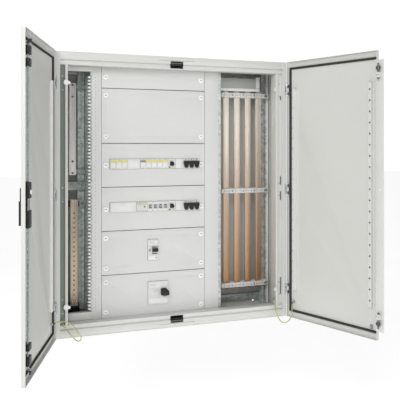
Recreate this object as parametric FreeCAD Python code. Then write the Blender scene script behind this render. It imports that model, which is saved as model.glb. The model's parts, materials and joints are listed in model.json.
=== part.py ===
import FreeCAD, Part
import math
import os

# Wall-mounted double-door switchboard cabinet, doors standing open.
# Millimetres. +Z up, the front faces -Y, the back panel lies on y = 0 and the
# origin is the centre of the four wall-fixing holes.

# ---- driving dimensions of the body
BODY_WIDTH = 1125.0
BODY_HEIGHT = 1250.0
BODY_DEPTH = 250.0
SHEET = 2.0
BAND_WIDTH = 20.0
SIDE_RAIL_WIDTH = 54.0
TOP_RAIL_HEIGHT = 57.0
FIXING_SPACING_X = 1000.0
FIXING_SPACING_Z = 1190.0
FIXING_RADIUS = 5.0

# ---- covers, fields and rows of devices
COVER_FACE_Y = -190.0
COVER_FIELD_LEFT = -346.5
COVER_FIELD_WIDTH = 500.0
COVER_GAP = 3.0
COVER_HEIGHTS = (200.0, 200.0, 200.0, 200.0, 250.0, 100.0)
COVER_NAMES = (
    "cover_rotary_breaker",
    "cover_toggle_breaker",
    "cover_lower_row",
    "cover_upper_row",
    "cover_upper_blank",
    "cover_top_blank",
)
FASTENER_INSET = 18.5
UPPER_ROW_Z = 130.0
LOWER_ROW_Z = -68.0
SLOT_LEFT = -309.0
SLOT_RIGHT = 123.0
NOSE_HEIGHT = 45.0
MODULE_BODY_HEIGHT = 85.0
NOSE_FACE_Y = -196.0

# ---- moulded-case breakers
TOGGLE_BREAKER_X = -105.0
TOGGLE_BREAKER_Z = -270.0
ROTARY_BREAKER_X = -80.0
ROTARY_BREAKER_Z = -471.0

# ---- busbars
BUSBAR_WIDTH = 30.0
BUSBAR_THICKNESS = 10.0
BUSBAR_PITCH = 60.0
BUSBAR_FIRST_X = 309.5
BUSBAR_BACK_Y = -80.0
SUPPORT_CENTRES_Z = (469.0, -13.0, -486.0)

# ---- doors
DOOR_DEPTH = 15.0
DOOR_SHEET = 1.5
DOOR_LIP_Y = -253.5
LEFT_DOOR_EDGE_X = 13.5
RIGHT_DOOR_EDGE_X = 28.5
LEFT_DOOR_ANGLE = 109.2
RIGHT_DOOR_ANGLE = 107.6
HINGE_STANDOFF = 5.0
HINGE_Z = (-488.0, 0.0, 488.0)
PIN_RADIUS = 3.0
RUNNING_CLEARANCE = 0.08
ROD_X = -29.5
HANDLE_Z = 50.0
BOLT_X = 9.0

# ---- earth leads
LEAD_DIAMETER = 5.0
LEFT_LEAD_ROUTE = [
    (-535.5, -249.0, -553.0),
    (-534.0, -256.0, -558.5),
    (-529.5, -262.0, -567.5),
    (-520.5, -266.0, -579.5),
    (-510.5, -268.5, -592.5),
    (-499.5, -271.0, -605.5),
    (-488.5, -274.5, -618.5),
    (-479.0, -281.5, -631.0),
    (-465.5, -292.0, -630.5),
    (-459.5, -303.0, -617.0),
    (-469.0, -307.0, -598.0),
    (-481.0, -308.5, -578.0),
    (-494.0, -311.0, -560.0),
    (-510.0, -313.0, -546.0),
    (-526.5, -314.5, -536.5),
    (-545.0, -315.7, -531.5),
    (-563.5, -316.0, -533.0),
    (-581.5, -314.5, -541.0),
]
RIGHT_LEAD_ROUTE = [
    (501.5, -239.0, -535.0),
    (499.0, -244.5, -543.0),
    (498.5, -251.0, -556.0),
    (498.5, -258.0, -574.5),
    (499.5, -266.0, -597.0),
    (504.0, -274.0, -620.0),
    (514.5, -282.0, -639.0),
    (531.5, -289.0, -648.5),
    (548.5, -295.0, -641.5),
    (560.0, -299.5, -625.5),
    (564.0, -302.5, -605.5),
    (565.5, -303.0, -585.0),
    (567.5, -300.5, -565.0),
    (572.0, -296.0, -547.0),
]

# ---- worked-out values
HALF_W = BODY_WIDTH / 2
HALF_H = BODY_HEIGHT / 2
FRONT_Y = -BODY_DEPTH
OPENING_HALF_W = HALF_W - SIDE_RAIL_WIDTH
OPENING_HALF_H = HALF_H - TOP_RAIL_HEIGHT
COVER_FIELD_RIGHT = COVER_FIELD_LEFT + COVER_FIELD_WIDTH
DOOR_FACE_Y = DOOR_LIP_Y - DOOR_DEPTH
DOOR_INSIDE_Y = DOOR_FACE_Y + DOOR_SHEET
HINGE_AXIS_Y = FRONT_Y - HINGE_STANDOFF
HINGE_AXIS_X = HALF_W
Z_AXIS = FreeCAD.Vector(0, 0, 1)
Y_AXIS = FreeCAD.Vector(0, 1, 0)
X_AXIS = FreeCAD.Vector(1, 0, 0)

parts = {}


def point(x, y, z):
    return FreeCAD.Vector(x, y, z)


def box(x0, x1, y0, y1, z0, z1):
    low = point(min(x0, x1), min(y0, y1), min(z0, z1))
    return Part.makeBox(abs(x1 - x0), abs(y1 - y0), abs(z1 - z0), low)


def rod(radius, start, axis, length):
    return Part.makeCylinder(radius, length, start, axis)


def joined(shapes):
    solid = shapes[0]
    for other in shapes[1:]:
        solid = solid.fuse(other)
    return solid.removeSplitter()


def group(shapes):
    return Part.makeCompound(shapes)


def mirrored_x(shape):
    return shape.mirror(point(0, 0, 0), X_AXIS)


def mirrored_z(shape):
    return shape.mirror(point(0, 0, 0), Z_AXIS)


def outline_xz(points, y0, y1):
    wire = Part.makePolygon([point(x, y0, z) for x, z in points + points[:1]])
    return Part.Face(wire).extrude(point(0, y1 - y0, 0))


def outline_yz(points, x0, x1):
    wire = Part.makePolygon([point(x0, y, z) for y, z in points + points[:1]])
    return Part.Face(wire).extrude(point(x1 - x0, 0, 0))


# ---------------------------------------------------------------- body shell
GROOVE_INSET = 45.0
GROOVE_Y = FRONT_Y + 14.0
LIP_Y = FRONT_Y + 4.0
RETURN_END_Y = COVER_FACE_Y - 1.5


def side_panel():
    """Left side sheet with its folded front rail: band, groove, lip and return."""
    outer = -HALF_W
    band = outer + BAND_WIDTH
    groove = outer + GROOVE_INSET
    lip = -OPENING_HALF_W
    sheets = [
        box(outer, outer + SHEET, FRONT_Y + SHEET, 0, -HALF_H, HALF_H),
        box(outer, band, FRONT_Y, FRONT_Y + SHEET, -HALF_H, HALF_H),
        box(band - SHEET, band, FRONT_Y, GROOVE_Y + SHEET, -OPENING_HALF_H, OPENING_HALF_H),
        box(band - SHEET, groove, GROOVE_Y, GROOVE_Y + SHEET, -OPENING_HALF_H, OPENING_HALF_H),
        box(groove - SHEET, groove, LIP_Y, GROOVE_Y + SHEET, -OPENING_HALF_H, OPENING_HALF_H),
        box(groove - SHEET, lip, LIP_Y, LIP_Y + SHEET, -OPENING_HALF_H, OPENING_HALF_H),
        box(lip - SHEET, lip, LIP_Y, RETURN_END_Y, -OPENING_HALF_H, OPENING_HALF_H),
    ]
    return joined(sheets)


STUD_RADIUS = 3.0
LEFT_STUD = point(-535.5, GROOVE_Y, -553.0)
RIGHT_STUD = point(OPENING_HALF_W, -239.0, -535.0)
LEFT_STUD_LENGTH = 16.0
RIGHT_STUD_LENGTH = 9.5

# The left stud stands in the groove; the right one stands on the inner return.
left_body_stud = rod(STUD_RADIUS, LEFT_STUD, point(0, -1, 0), LEFT_STUD_LENGTH)
right_body_stud = rod(STUD_RADIUS, RIGHT_STUD, point(-1, 0, 0), RIGHT_STUD_LENGTH)
parts["left_side_panel"] = joined([side_panel(), left_body_stud])
parts["right_side_panel"] = joined([mirrored_x(side_panel()), right_body_stud])

CATCH_LEFT = -38.0
CATCH_RIGHT = 24.0
CATCH_LOW = 584.0
CATCH_HIGH = 604.0
CATCH_BACK_Y = FRONT_Y + 12.0
HOOK_WINDOW_LOW = OPENING_HALF_H + 3.0
BEVEL_HEIGHT = 12.0
TOP_LIP_HIGH = 584.0
TOP_GROOVE_HIGH = 592.0
TOP_LIP_Y = FRONT_Y + 3.0
TOP_GROOVE_Y = FRONT_Y + 7.0
BOLT_Y = -238.0


def top_panel():
    """Roof sheet with its folded front rail and the window for the door hook."""
    rail = HALF_W - BAND_WIDTH
    low = OPENING_HALF_H
    bevel = [
        (FRONT_Y, HALF_H - BEVEL_HEIGHT),
        (FRONT_Y + 4.0, HALF_H),
        (FRONT_Y + 8.0, HALF_H),
        (FRONT_Y + 8.0, HALF_H - BEVEL_HEIGHT),
    ]
    sheets = [
        box(-HALF_W + SHEET, HALF_W - SHEET, FRONT_Y + SHEET, 0, HALF_H - SHEET, HALF_H),
        outline_yz(bevel, -rail, rail),
        box(-rail, rail, FRONT_Y, FRONT_Y + SHEET, TOP_GROOVE_HIGH - SHEET, HALF_H - BEVEL_HEIGHT),
        box(-rail, rail, FRONT_Y, TOP_GROOVE_Y + SHEET, TOP_GROOVE_HIGH - SHEET, TOP_GROOVE_HIGH),
        box(-rail, rail, TOP_GROOVE_Y, TOP_GROOVE_Y + SHEET, TOP_LIP_HIGH - SHEET, TOP_GROOVE_HIGH),
        box(-rail, rail, TOP_LIP_Y, TOP_GROOVE_Y + SHEET, TOP_LIP_HIGH - SHEET, TOP_LIP_HIGH),
        box(-rail, rail, TOP_LIP_Y, TOP_LIP_Y + SHEET, low, TOP_LIP_HIGH),
        box(-rail, rail, TOP_LIP_Y, RETURN_END_Y, low, low + SHEET),
    ]
    panel = joined(sheets)
    # the corner of the roof sheet's front edge stays behind the side bands
    panel = panel.cut(box(-HALF_W, -rail, FRONT_Y, FRONT_Y + SHEET, low, HALF_H + 1))
    panel = panel.cut(box(rail, HALF_W, FRONT_Y, FRONT_Y + SHEET, low, HALF_H + 1))
    window = box(CATCH_LEFT, CATCH_RIGHT, FRONT_Y - 1, CATCH_BACK_Y, HOOK_WINDOW_LOW, CATCH_HIGH)
    panel = panel.cut(window)
    bolt_hole = rod(5.0, point(BOLT_X, BOLT_Y, low - 1), Z_AXIS, SHEET + 2)
    return panel.cut(bolt_hole)


parts["roof_panel"] = top_panel()

GLAND_HALF_X = 450.0
GLAND_FRONT_Y = -185.0
GLAND_BACK_Y = -65.0
GLAND_MARGIN = 12.0
cutout = box(-GLAND_HALF_X, GLAND_HALF_X, GLAND_FRONT_Y, GLAND_BACK_Y, -HALF_H - 1, -HALF_H + 5)
parts["floor_panel"] = mirrored_z(top_panel()).cut(cutout)
parts["gland_plate"] = box(
    -GLAND_HALF_X - GLAND_MARGIN,
    GLAND_HALF_X + GLAND_MARGIN,
    GLAND_FRONT_Y - GLAND_MARGIN,
    GLAND_BACK_Y + GLAND_MARGIN,
    -HALF_H + SHEET,
    -HALF_H + 2 * SHEET,
)


def back_panel():
    inside_w = HALF_W - SHEET
    inside_h = HALF_H - SHEET
    panel = box(-inside_w, inside_w, -SHEET, 0, -inside_h, inside_h)
    for side_x in (-1, 1):
        for side_z in (-1, 1):
            centre = point(side_x * FIXING_SPACING_X / 2, -SHEET - 1, side_z * FIXING_SPACING_Z / 2)
            panel = panel.cut(rod(FIXING_RADIUS, centre, Y_AXIS, SHEET + 2))
    return panel


parts["back_panel"] = back_panel()


def rod_catch():
    """Plastic pocket in the top rail: the rod's hook rises behind its front lip."""
    body = box(CATCH_LEFT, CATCH_RIGHT, FRONT_Y, CATCH_BACK_Y, CATCH_LOW, CATCH_HIGH)
    pocket = box(CATCH_LEFT + 2, CATCH_RIGHT - 2, FRONT_Y + SHEET, CATCH_BACK_Y - 2, CATCH_LOW - 1, 600.5)
    mouth = box(CATCH_LEFT + 2, CATCH_RIGHT - 2, FRONT_Y - 1, FRONT_Y + SHEET, CATCH_LOW - 1, 592.0)
    return body.cut(pocket).cut(mouth)


parts["rod_catches"] = group([rod_catch(), mirrored_z(rod_catch())])

# ------------------------------------------------- uprights and rear cross rails
UPRIGHT_HALF_H = 600.0
REAR_PLANE_Y = -40.0
INNER_UPRIGHT_FRONT_Y = COVER_FACE_Y + 5.0
OUTER_UPRIGHT_FRONT_Y = -62.0
LEFT_WEB_X = -397.0
RIGHT_WEB_X = 240.0


def c_upright(web_x, flange_x, front_y):
    """C-section standing on the cross rails, its web at web_x and open towards flange_x."""
    side = 1 if flange_x > web_x else -1
    web = box(web_x, web_x + side * SHEET, front_y, REAR_PLANE_Y, -UPRIGHT_HALF_H, UPRIGHT_HALF_H)
    front = box(web_x, flange_x, front_y, front_y + SHEET, -UPRIGHT_HALF_H, UPRIGHT_HALF_H)
    rear = box(web_x, flange_x, REAR_PLANE_Y - SHEET, REAR_PLANE_Y, -UPRIGHT_HALF_H, UPRIGHT_HALF_H)
    return joined([web, front, rear])


parts["perforated_uprights"] = group(
    [
        c_upright(-558.0, -521.0, OUTER_UPRIGHT_FRONT_Y),
        c_upright(-430.0, -399.0, REAR_PLANE_Y - 12.0),
        c_upright(LEFT_WEB_X, LEFT_WEB_X + 30.0, INNER_UPRIGHT_FRONT_Y),
        c_upright(RIGHT_WEB_X, RIGHT_WEB_X - 28.0, INNER_UPRIGHT_FRONT_Y),
        c_upright(557.0, 519.0, OUTER_UPRIGHT_FRONT_Y),
    ]
)


def cross_rail(low, high):
    inside_w = HALF_W - SHEET
    front = box(-inside_w, inside_w, REAR_PLANE_Y, REAR_PLANE_Y + SHEET, low, high)
    lower = box(-inside_w, inside_w, REAR_PLANE_Y, -SHEET, low, low + SHEET)
    upper = box(-inside_w, inside_w, REAR_PLANE_Y, -SHEET, high - SHEET, high)
    return joined([front, lower, upper])


rear_rails = [cross_rail(548.0, 576.0), cross_rail(-576.0, -548.0)]

# ------------------------------------------------------------ white cover frame
COLUMN_RETURN_Y = INNER_UPRIGHT_FRONT_Y


def column_profile(x0, x1):
    half = OPENING_HALF_H + 4.0
    face = box(x0, x1, COVER_FACE_Y, COVER_FACE_Y + SHEET, -half, half)
    left = box(x0, x0 + SHEET, COVER_FACE_Y, COLUMN_RETURN_Y, -half, half)
    right = box(x1 - SHEET, x1, COVER_FACE_Y, COLUMN_RETURN_Y, -half, half)
    return joined([face, left, right])


LEFT_COLUMN_X = (-391.0, COVER_FIELD_LEFT - 1.5)
RIGHT_COLUMN_X = (COVER_FIELD_RIGHT + 1.5, 226.0)


def field_strip(low, high):
    """White angle closing the left field between its front lip and the column."""
    face = box(-OPENING_HALF_W, LEFT_COLUMN_X[0], COVER_FACE_Y, COVER_FACE_Y + SHEET, low, high)
    shelf = box(-OPENING_HALF_W, LEFT_WEB_X, COVER_FACE_Y, COVER_FACE_Y + 25.0, low, low + SHEET)
    return joined([face, shelf])


def busbar_bracket():
    """White bar above the busbars with a sheet behind it and a tab on its right end."""
    bar = box(RIGHT_WEB_X, 490.0, -102.0, -98.0, 489.0, 504.0)
    sheet = box(RIGHT_WEB_X, 470.0, -98.0, -96.0, 489.0, 554.0)
    tab = box(470.0, 490.0, -102.0, -96.0, 489.0, 562.0)
    return joined([bar, sheet, tab])


parts["cover_frame_profiles"] = group(
    [
        column_profile(*LEFT_COLUMN_X),
        column_profile(*RIGHT_COLUMN_X),
        field_strip(548.0, OPENING_HALF_H),
        mirrored_z(field_strip(534.0, OPENING_HALF_H)),
        busbar_bracket(),
    ]
)

# ----------------------------------------------------------------------- covers
COVER_SHEET = 1.5
COVER_RETURN = 12.0
FASTENER_HOLE_RADIUS = 6.0
FASTENER_SHANK_RADIUS = 5.5
FASTENER_HEAD_RADIUS = 12.0
CUTOUT_MARGIN = 1.0


def cover(low, high):
    x0 = COVER_FIELD_LEFT
    x1 = COVER_FIELD_RIGHT
    bottom = low + COVER_GAP / 2
    top = high - COVER_GAP / 2
    back = COVER_FACE_Y + COVER_RETURN
    outer = box(x0, x1, COVER_FACE_Y, back, bottom, top)
    hollow = box(
        x0 + COVER_SHEET,
        x1 - COVER_SHEET,
        COVER_FACE_Y + COVER_SHEET,
        back + 1,
        bottom + COVER_SHEET,
        top - COVER_SHEET,
    )
    return outer.cut(hollow)


def fastener_places(low, high, at_middle):
    """Centres of a cover's fasteners: one pair at the middle or a pair near each end."""
    edge = 32.0
    middle = (low + high) / 2
    levels = (middle,) if at_middle else (low + edge, high - edge)
    places = []
    for z in levels:
        places.append((COVER_FIELD_LEFT + FASTENER_INSET, z))
        places.append((COVER_FIELD_RIGHT - FASTENER_INSET, z))
    return places


def fastener(x, z, face_y, shank):
    head = rod(FASTENER_HEAD_RADIUS, point(x, face_y - 4.0, z), Y_AXIS, 4.0)
    slot = box(x - 5.0, x + 5.0, face_y - 4.5, face_y - 2.5, z - 0.9, z + 0.9)
    stem = rod(FASTENER_SHANK_RADIUS, point(x, face_y, z), Y_AXIS, shank)
    return joined([head.cut(slot), stem])


def cutout_for(name):
    gap = CUTOUT_MARGIN
    y0 = COVER_FACE_Y - 1
    y1 = COVER_FACE_Y + COVER_SHEET + 1
    half = NOSE_HEIGHT / 2 + gap
    if name == "cover_upper_row":
        return box(SLOT_LEFT - gap, SLOT_RIGHT + gap, y0, y1, UPPER_ROW_Z - half, UPPER_ROW_Z + half)
    if name == "cover_lower_row":
        return box(SLOT_LEFT - gap, SLOT_RIGHT + gap, y0, y1, LOWER_ROW_Z - half, LOWER_ROW_Z + half)
    if name == "cover_toggle_breaker":
        return nose_box(TOGGLE_BREAKER_X, TOGGLE_BREAKER_Z, TOGGLE_NOSE, gap, y0, y1)
    if name == "cover_rotary_breaker":
        return nose_box(ROTARY_BREAKER_X, ROTARY_BREAKER_Z, ROTARY_NOSE, gap, y0, y1)
    return None


TOGGLE_NOSE = (51.0, 96.0)
ROTARY_NOSE = (98.0, 107.0)


def nose_box(x, z, size, gap, y0, y1):
    half_x = size[0] / 2 + gap
    half_z = size[1] / 2 + gap
    return box(x - half_x, x + half_x, y0, y1, z - half_z, z + half_z)


fasteners = []
cover_low = -sum(COVER_HEIGHTS) / 2
for cover_name, cover_height in zip(COVER_NAMES, COVER_HEIGHTS):
    cover_high = cover_low + cover_height
    plate = cover(cover_low, cover_high)
    one_pair = cover_name in ("cover_top_blank", "cover_upper_row", "cover_lower_row")
    for fastener_x, fastener_z in fastener_places(cover_low, cover_high, one_pair):
        hole_start = point(fastener_x, COVER_FACE_Y - 1, fastener_z)
        plate = plate.cut(rod(FASTENER_HOLE_RADIUS, hole_start, Y_AXIS, COVER_SHEET + 2))
        fasteners.append(fastener(fastener_x, fastener_z, COVER_FACE_Y, 9.0))
    opening = cutout_for(cover_name)
    if opening is not None:
        plate = plate.cut(opening)
    parts[cover_name] = plate
    cover_low = cover_high

LIP_FASTENERS_X = (-514.0, 508.5)
LIP_FASTENER_Z = 490.0
for fastener_x in LIP_FASTENERS_X:
    for fastener_z in (-LIP_FASTENER_Z, LIP_FASTENER_Z):
        foot = point(fastener_x, LIP_Y - 5.0, fastener_z)
        fasteners.append(rod(FASTENER_HEAD_RADIUS, foot, Y_AXIS, 5.0))
parts["cover_fasteners"] = group(fasteners)

# ------------------------------------------------------ mounting rails and plate
DIN_FRONT_Y = -135.0
DIN_DEPTH = 7.5
MOUNT_X0 = LEFT_WEB_X + SHEET
MOUNT_X1 = RIGHT_WEB_X - SHEET


def din_rail(z):
    """Top-hat rail, 35 mm high and 7.5 mm deep, of 1.5 mm steel."""
    thin = 1.5
    back = DIN_FRONT_Y + DIN_DEPTH
    sheets = [
        box(MOUNT_X0, MOUNT_X1, DIN_FRONT_Y, DIN_FRONT_Y + thin, z + 12.5, z + 17.5),
        box(MOUNT_X0, MOUNT_X1, DIN_FRONT_Y, DIN_FRONT_Y + thin, z - 17.5, z - 12.5),
        box(MOUNT_X0, MOUNT_X1, DIN_FRONT_Y, back, z + 11.0, z + 12.5),
        box(MOUNT_X0, MOUNT_X1, DIN_FRONT_Y, back, z - 12.5, z - 11.0),
        box(MOUNT_X0, MOUNT_X1, back - thin, back, z - 12.5, z + 12.5),
    ]
    return joined(sheets)


PLATE_FRONT_Y = -125.0
parts["device_mounting_rails"] = group(
    [
        din_rail(UPPER_ROW_Z),
        din_rail(LOWER_ROW_Z),
        box(MOUNT_X0, MOUNT_X1, PLATE_FRONT_Y, PLATE_FRONT_Y + SHEET, -560.0, -190.0),
    ]
)

# ---------------------------------------------------------------------- devices
MODULE_GAP = 0.4
NOSE_BACK_Y = -175.0
DRUM_CLEARANCE = 0.5
POLE_WIDTH = 27.0
SWITCH_LEFT = 42.0


def module(x0, x1, z):
    """Modular device: a 45 mm nose in the cover's slot and an 85 mm body behind it."""
    left = x0 + MODULE_GAP / 2
    right = x1 - MODULE_GAP / 2
    half_nose = NOSE_HEIGHT / 2
    half_body = MODULE_BODY_HEIGHT / 2
    nose = box(left, right, NOSE_FACE_Y, NOSE_BACK_Y, z - half_nose, z + half_nose)
    body = box(left, right, NOSE_BACK_Y, DIN_FRONT_Y, z - half_body, z + half_body)
    return joined([nose, body])


def module_row(x0, count, width, z):
    return [module(x0 + i * width, x0 + (i + 1) * width, z) for i in range(count)]


def blanking_strip(x0, x1, z):
    half = NOSE_HEIGHT / 2
    return box(x0 + MODULE_GAP, x1 - MODULE_GAP, COVER_FACE_Y - 4.0, COVER_FACE_Y, z - half, z + half)


FIRST_GROUP_X = -308.0
SECOND_GROUP_X = -167.0
NARROW_GROUP_X = -186.0
BREAKER_GROUP_X = -132.0
BREAKER_WIDTH = 25.0
RCD_X0 = -32.0
RCD_X1 = 5.0

parts["fuse_pole_modules"] = group(
    module_row(FIRST_GROUP_X, 3, POLE_WIDTH, UPPER_ROW_Z)
    + module_row(SECOND_GROUP_X, 5, POLE_WIDTH, UPPER_ROW_Z)
    + module_row(NARROW_GROUP_X, 6, 9.0, LOWER_ROW_Z)
)
parts["blanking_strips"] = group(
    [
        blanking_strip(FIRST_GROUP_X + 3 * POLE_WIDTH, SECOND_GROUP_X, UPPER_ROW_Z),
        blanking_strip(RCD_X1, SWITCH_LEFT, UPPER_ROW_Z),
        blanking_strip(FIRST_GROUP_X, NARROW_GROUP_X, LOWER_ROW_Z),
        blanking_strip(RCD_X1, SWITCH_LEFT, LOWER_ROW_Z),
    ]
)


def toggle_pocket(x, z, half_x, half_z, pivot_y, radius):
    bottom = pivot_y + radius + DRUM_CLEARANCE
    return box(x - half_x, x + half_x, NOSE_FACE_Y - 1, bottom, z - half_z, z + half_z)


def toggle(x, z, half_x, half_z, pivot_y, radius, tip_y):
    """Rocking toggle: a drum on its pivot line and a lever standing out to tip_y."""
    drum = rod(radius, point(x - half_x, pivot_y, z), X_AXIS, 2 * half_x)
    lever = box(x - half_x, x + half_x, tip_y, pivot_y, z - half_z, z + half_z)
    return joined([drum, lever])


RCD_TOGGLE_X = (RCD_X0 + RCD_X1) / 2
RCD_PIVOT_Y = -188.5
RCD_DRUM = 7.5
SMALL_PIVOT_Y = -189.5
SMALL_DRUM = 6.0
BIG_PIVOT_Y = -184.0
BIG_DRUM = 12.0

rcd_bodies = []
for row_z, toggle_name in ((UPPER_ROW_Z, "rcd_toggle_upper"), (LOWER_ROW_Z, "rcd_toggle_lower")):
    pocket = toggle_pocket(RCD_TOGGLE_X, row_z, 9.3, 10.5, RCD_PIVOT_Y, RCD_DRUM)
    rcd_bodies.append(module(RCD_X0, RCD_X1, row_z).cut(pocket))
    parts[toggle_name] = toggle(RCD_TOGGLE_X, row_z, 8.5, 5.0, RCD_PIVOT_Y, RCD_DRUM, -208.0)
parts["residual_current_devices"] = group(rcd_bodies)

breaker_bodies = []
for index in range(4):
    breaker_x = BREAKER_GROUP_X + (index + 0.5) * BREAKER_WIDTH
    low_x = breaker_x - BREAKER_WIDTH / 2
    high_x = breaker_x + BREAKER_WIDTH / 2
    pocket = toggle_pocket(breaker_x, LOWER_ROW_Z, 6.8, 9.0, SMALL_PIVOT_Y, SMALL_DRUM)
    breaker_bodies.append(module(low_x, high_x, LOWER_ROW_Z).cut(pocket))
    lever = toggle(breaker_x, LOWER_ROW_Z, 6.0, 3.0, SMALL_PIVOT_Y, SMALL_DRUM, -204.0)
    parts["breaker_toggle_%d" % (index + 1)] = lever
parts["circuit_breakers"] = group(breaker_bodies)

switch_bodies = []
for row_z, handle_name in ((UPPER_ROW_Z, "fuse_handle_upper"), (LOWER_ROW_Z, "fuse_handle_lower")):
    switch_bodies.append(module(SWITCH_LEFT, SWITCH_LEFT + 3 * POLE_WIDTH, row_z))
    top = row_z + 13.0
    bar_bottom = top - 12.0
    tip = top - 34.0
    teeth = [(SWITCH_LEFT + 2.0, top)]
    for pole in range(3):
        pole_x = SWITCH_LEFT + (pole + 0.5) * POLE_WIDTH
        teeth.append((pole_x - 10.0, bar_bottom))
        teeth.append((pole_x - 3.0, tip))
        teeth.append((pole_x + 3.0, tip))
        teeth.append((pole_x + 10.0, bar_bottom))
    teeth.append((SWITCH_LEFT + 3 * POLE_WIDTH - 2.0, top))
    parts[handle_name] = outline_xz(teeth, NOSE_FACE_Y - 14.0, NOSE_FACE_Y - 1.0)
parts["fuse_switch_bodies"] = group(switch_bodies)

toggle_nose = nose_box(TOGGLE_BREAKER_X, TOGGLE_BREAKER_Z, TOGGLE_NOSE, 0, NOSE_FACE_Y, -165.0)
toggle_case = nose_box(TOGGLE_BREAKER_X, TOGGLE_BREAKER_Z, (76.0, 130.0), 0, -165.0, PLATE_FRONT_Y)
BIG_TOGGLE_X = -97.0
BIG_TOGGLE_Z = -272.0
big_pocket = toggle_pocket(BIG_TOGGLE_X, BIG_TOGGLE_Z, 12.8, 17.0, BIG_PIVOT_Y, BIG_DRUM)
parts["toggle_breaker_body"] = joined([toggle_nose, toggle_case]).cut(big_pocket)
parts["toggle_breaker_toggle"] = toggle(
    BIG_TOGGLE_X, BIG_TOGGLE_Z, 12.0, 9.5, BIG_PIVOT_Y, BIG_DRUM, -210.0
)

ROTARY_X = -50.0
ROTARY_Z = -469.0
ROTARY_SHAFT = 5.0
rotary_nose = nose_box(ROTARY_BREAKER_X, ROTARY_BREAKER_Z, ROTARY_NOSE, 0, NOSE_FACE_Y, -160.0)
rotary_case = nose_box(ROTARY_BREAKER_X, ROTARY_BREAKER_Z, (104.0, 150.0), 0, -160.0, PLATE_FRONT_Y)
shaft_hole = rod(
    ROTARY_SHAFT + RUNNING_CLEARANCE, point(ROTARY_X, NOSE_FACE_Y - 1, ROTARY_Z), Y_AXIS, 16.0
)
parts["rotary_breaker_body"] = joined([rotary_nose, rotary_case]).cut(shaft_hole)


def rotary_handle():
    disc = rod(19.0, point(ROTARY_X, NOSE_FACE_Y - 9.0, ROTARY_Z), Y_AXIS, 8.4)
    grip = box(ROTARY_X - 21.0, ROTARY_X + 21.0, -226.0, -205.0, ROTARY_Z - 8.0, ROTARY_Z + 8.0)
    shaft = rod(ROTARY_SHAFT, point(ROTARY_X, -205.0, ROTARY_Z), Y_AXIS, 21.0)
    return joined([disc, grip, shaft])


parts["rotary_handle"] = rotary_handle()

# ---------------------------------------------------------------------- busbars
BUSBAR_FRONT_Y = BUSBAR_BACK_Y - BUSBAR_THICKNESS
SUPPORT_HALF_H = 13.0
busbar_solids = []
for index in range(4):
    centre_x = BUSBAR_FIRST_X + index * BUSBAR_PITCH
    left_x = centre_x - BUSBAR_WIDTH / 2
    right_x = centre_x + BUSBAR_WIDTH / 2
    busbar_solids.append(box(left_x, right_x, BUSBAR_FRONT_Y, BUSBAR_BACK_Y, -506.0, 490.0))
parts["busbars"] = group(busbar_solids)


def busbar_support(z):
    """Two beams that clamp the four bars, with a post in each gap between bars."""
    low = z - SUPPORT_HALF_H
    high = z + SUPPORT_HALF_H
    pieces = [
        box(RIGHT_WEB_X, 552.0, BUSBAR_BACK_Y, OUTER_UPRIGHT_FRONT_Y, low, high),
        box(283.0, 524.0, BUSBAR_FRONT_Y - 12.0, BUSBAR_FRONT_Y, low + 2.0, high - 2.0),
    ]
    for gap in range(5):
        post_x = BUSBAR_FIRST_X + (gap - 0.5) * BUSBAR_PITCH
        pieces.append(box(post_x - 4.0, post_x + 4.0, BUSBAR_FRONT_Y, BUSBAR_BACK_Y, low + 2.0, high - 2.0))
    return joined(pieces)


parts["busbar_supports"] = group([busbar_support(z) for z in SUPPORT_CENTRES_Z])

# -------------------------------------------------- earth and neutral bars, left
BAR_FRONT_Y = -102.0
BAR_BACK_Y = -97.0
BRACKET_FRONT_Y = -70.0
EARTH_BAR_X = (-478.0, -446.0)
NEUTRAL_BAR_X = (-472.0, -436.0)
parts["earth_bar"] = box(*EARTH_BAR_X, BAR_FRONT_Y, BAR_BACK_Y, 79.0, 502.0)
parts["neutral_bar"] = box(*NEUTRAL_BAR_X, BAR_FRONT_Y, BAR_BACK_Y, -522.0, -34.0)


def bar_bracket(low, high):
    return box(-557.0, LEFT_WEB_X, BRACKET_FRONT_Y, OUTER_UPRIGHT_FRONT_Y, low, high)


def insulator(x0, x1, low, high):
    return box(x0, x1, BAR_BACK_Y, BRACKET_FRONT_Y, low, high)


parts["rear_cross_rails"] = group(
    rear_rails
    + [
        bar_bracket(478.0, 498.0),
        bar_bracket(84.0, 104.0),
        bar_bracket(8.0, 46.0),
        bar_bracket(-66.0, -40.0),
        bar_bracket(-548.0, -520.0),
    ]
)
parts["bar_insulators"] = group(
    [
        insulator(-474.0, -450.0, 480.0, 496.0),
        insulator(-474.0, -450.0, 86.0, 102.0),
        insulator(-480.0, -430.0, -66.0, -40.0),
        insulator(-480.0, -430.0, -552.0, -510.0),
    ]
)

# ----------------------------------------------------------------------- hinges
KNUCKLE_RADIUS = 4.5
FIXED_KNUCKLE_HALF = 10.0
LEAF_HALF = 25.0


def fixed_leaf(z):
    """Knuckle on a short arm from the left frame band, bored for the door's pin."""
    x = -HINGE_AXIS_X
    base = point(x, HINGE_AXIS_Y, z - FIXED_KNUCKLE_HALF)
    knuckle = rod(KNUCKLE_RADIUS, base, Z_AXIS, 2 * FIXED_KNUCKLE_HALF)
    arm = box(x + 0.5, x + 7.5, HINGE_AXIS_Y, FRONT_Y, z - FIXED_KNUCKLE_HALF, z + FIXED_KNUCKLE_HALF)
    bore = rod(PIN_RADIUS + RUNNING_CLEARANCE, base, Z_AXIS, 2 * FIXED_KNUCKLE_HALF)
    return joined([knuckle, arm]).cut(bore)


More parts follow.
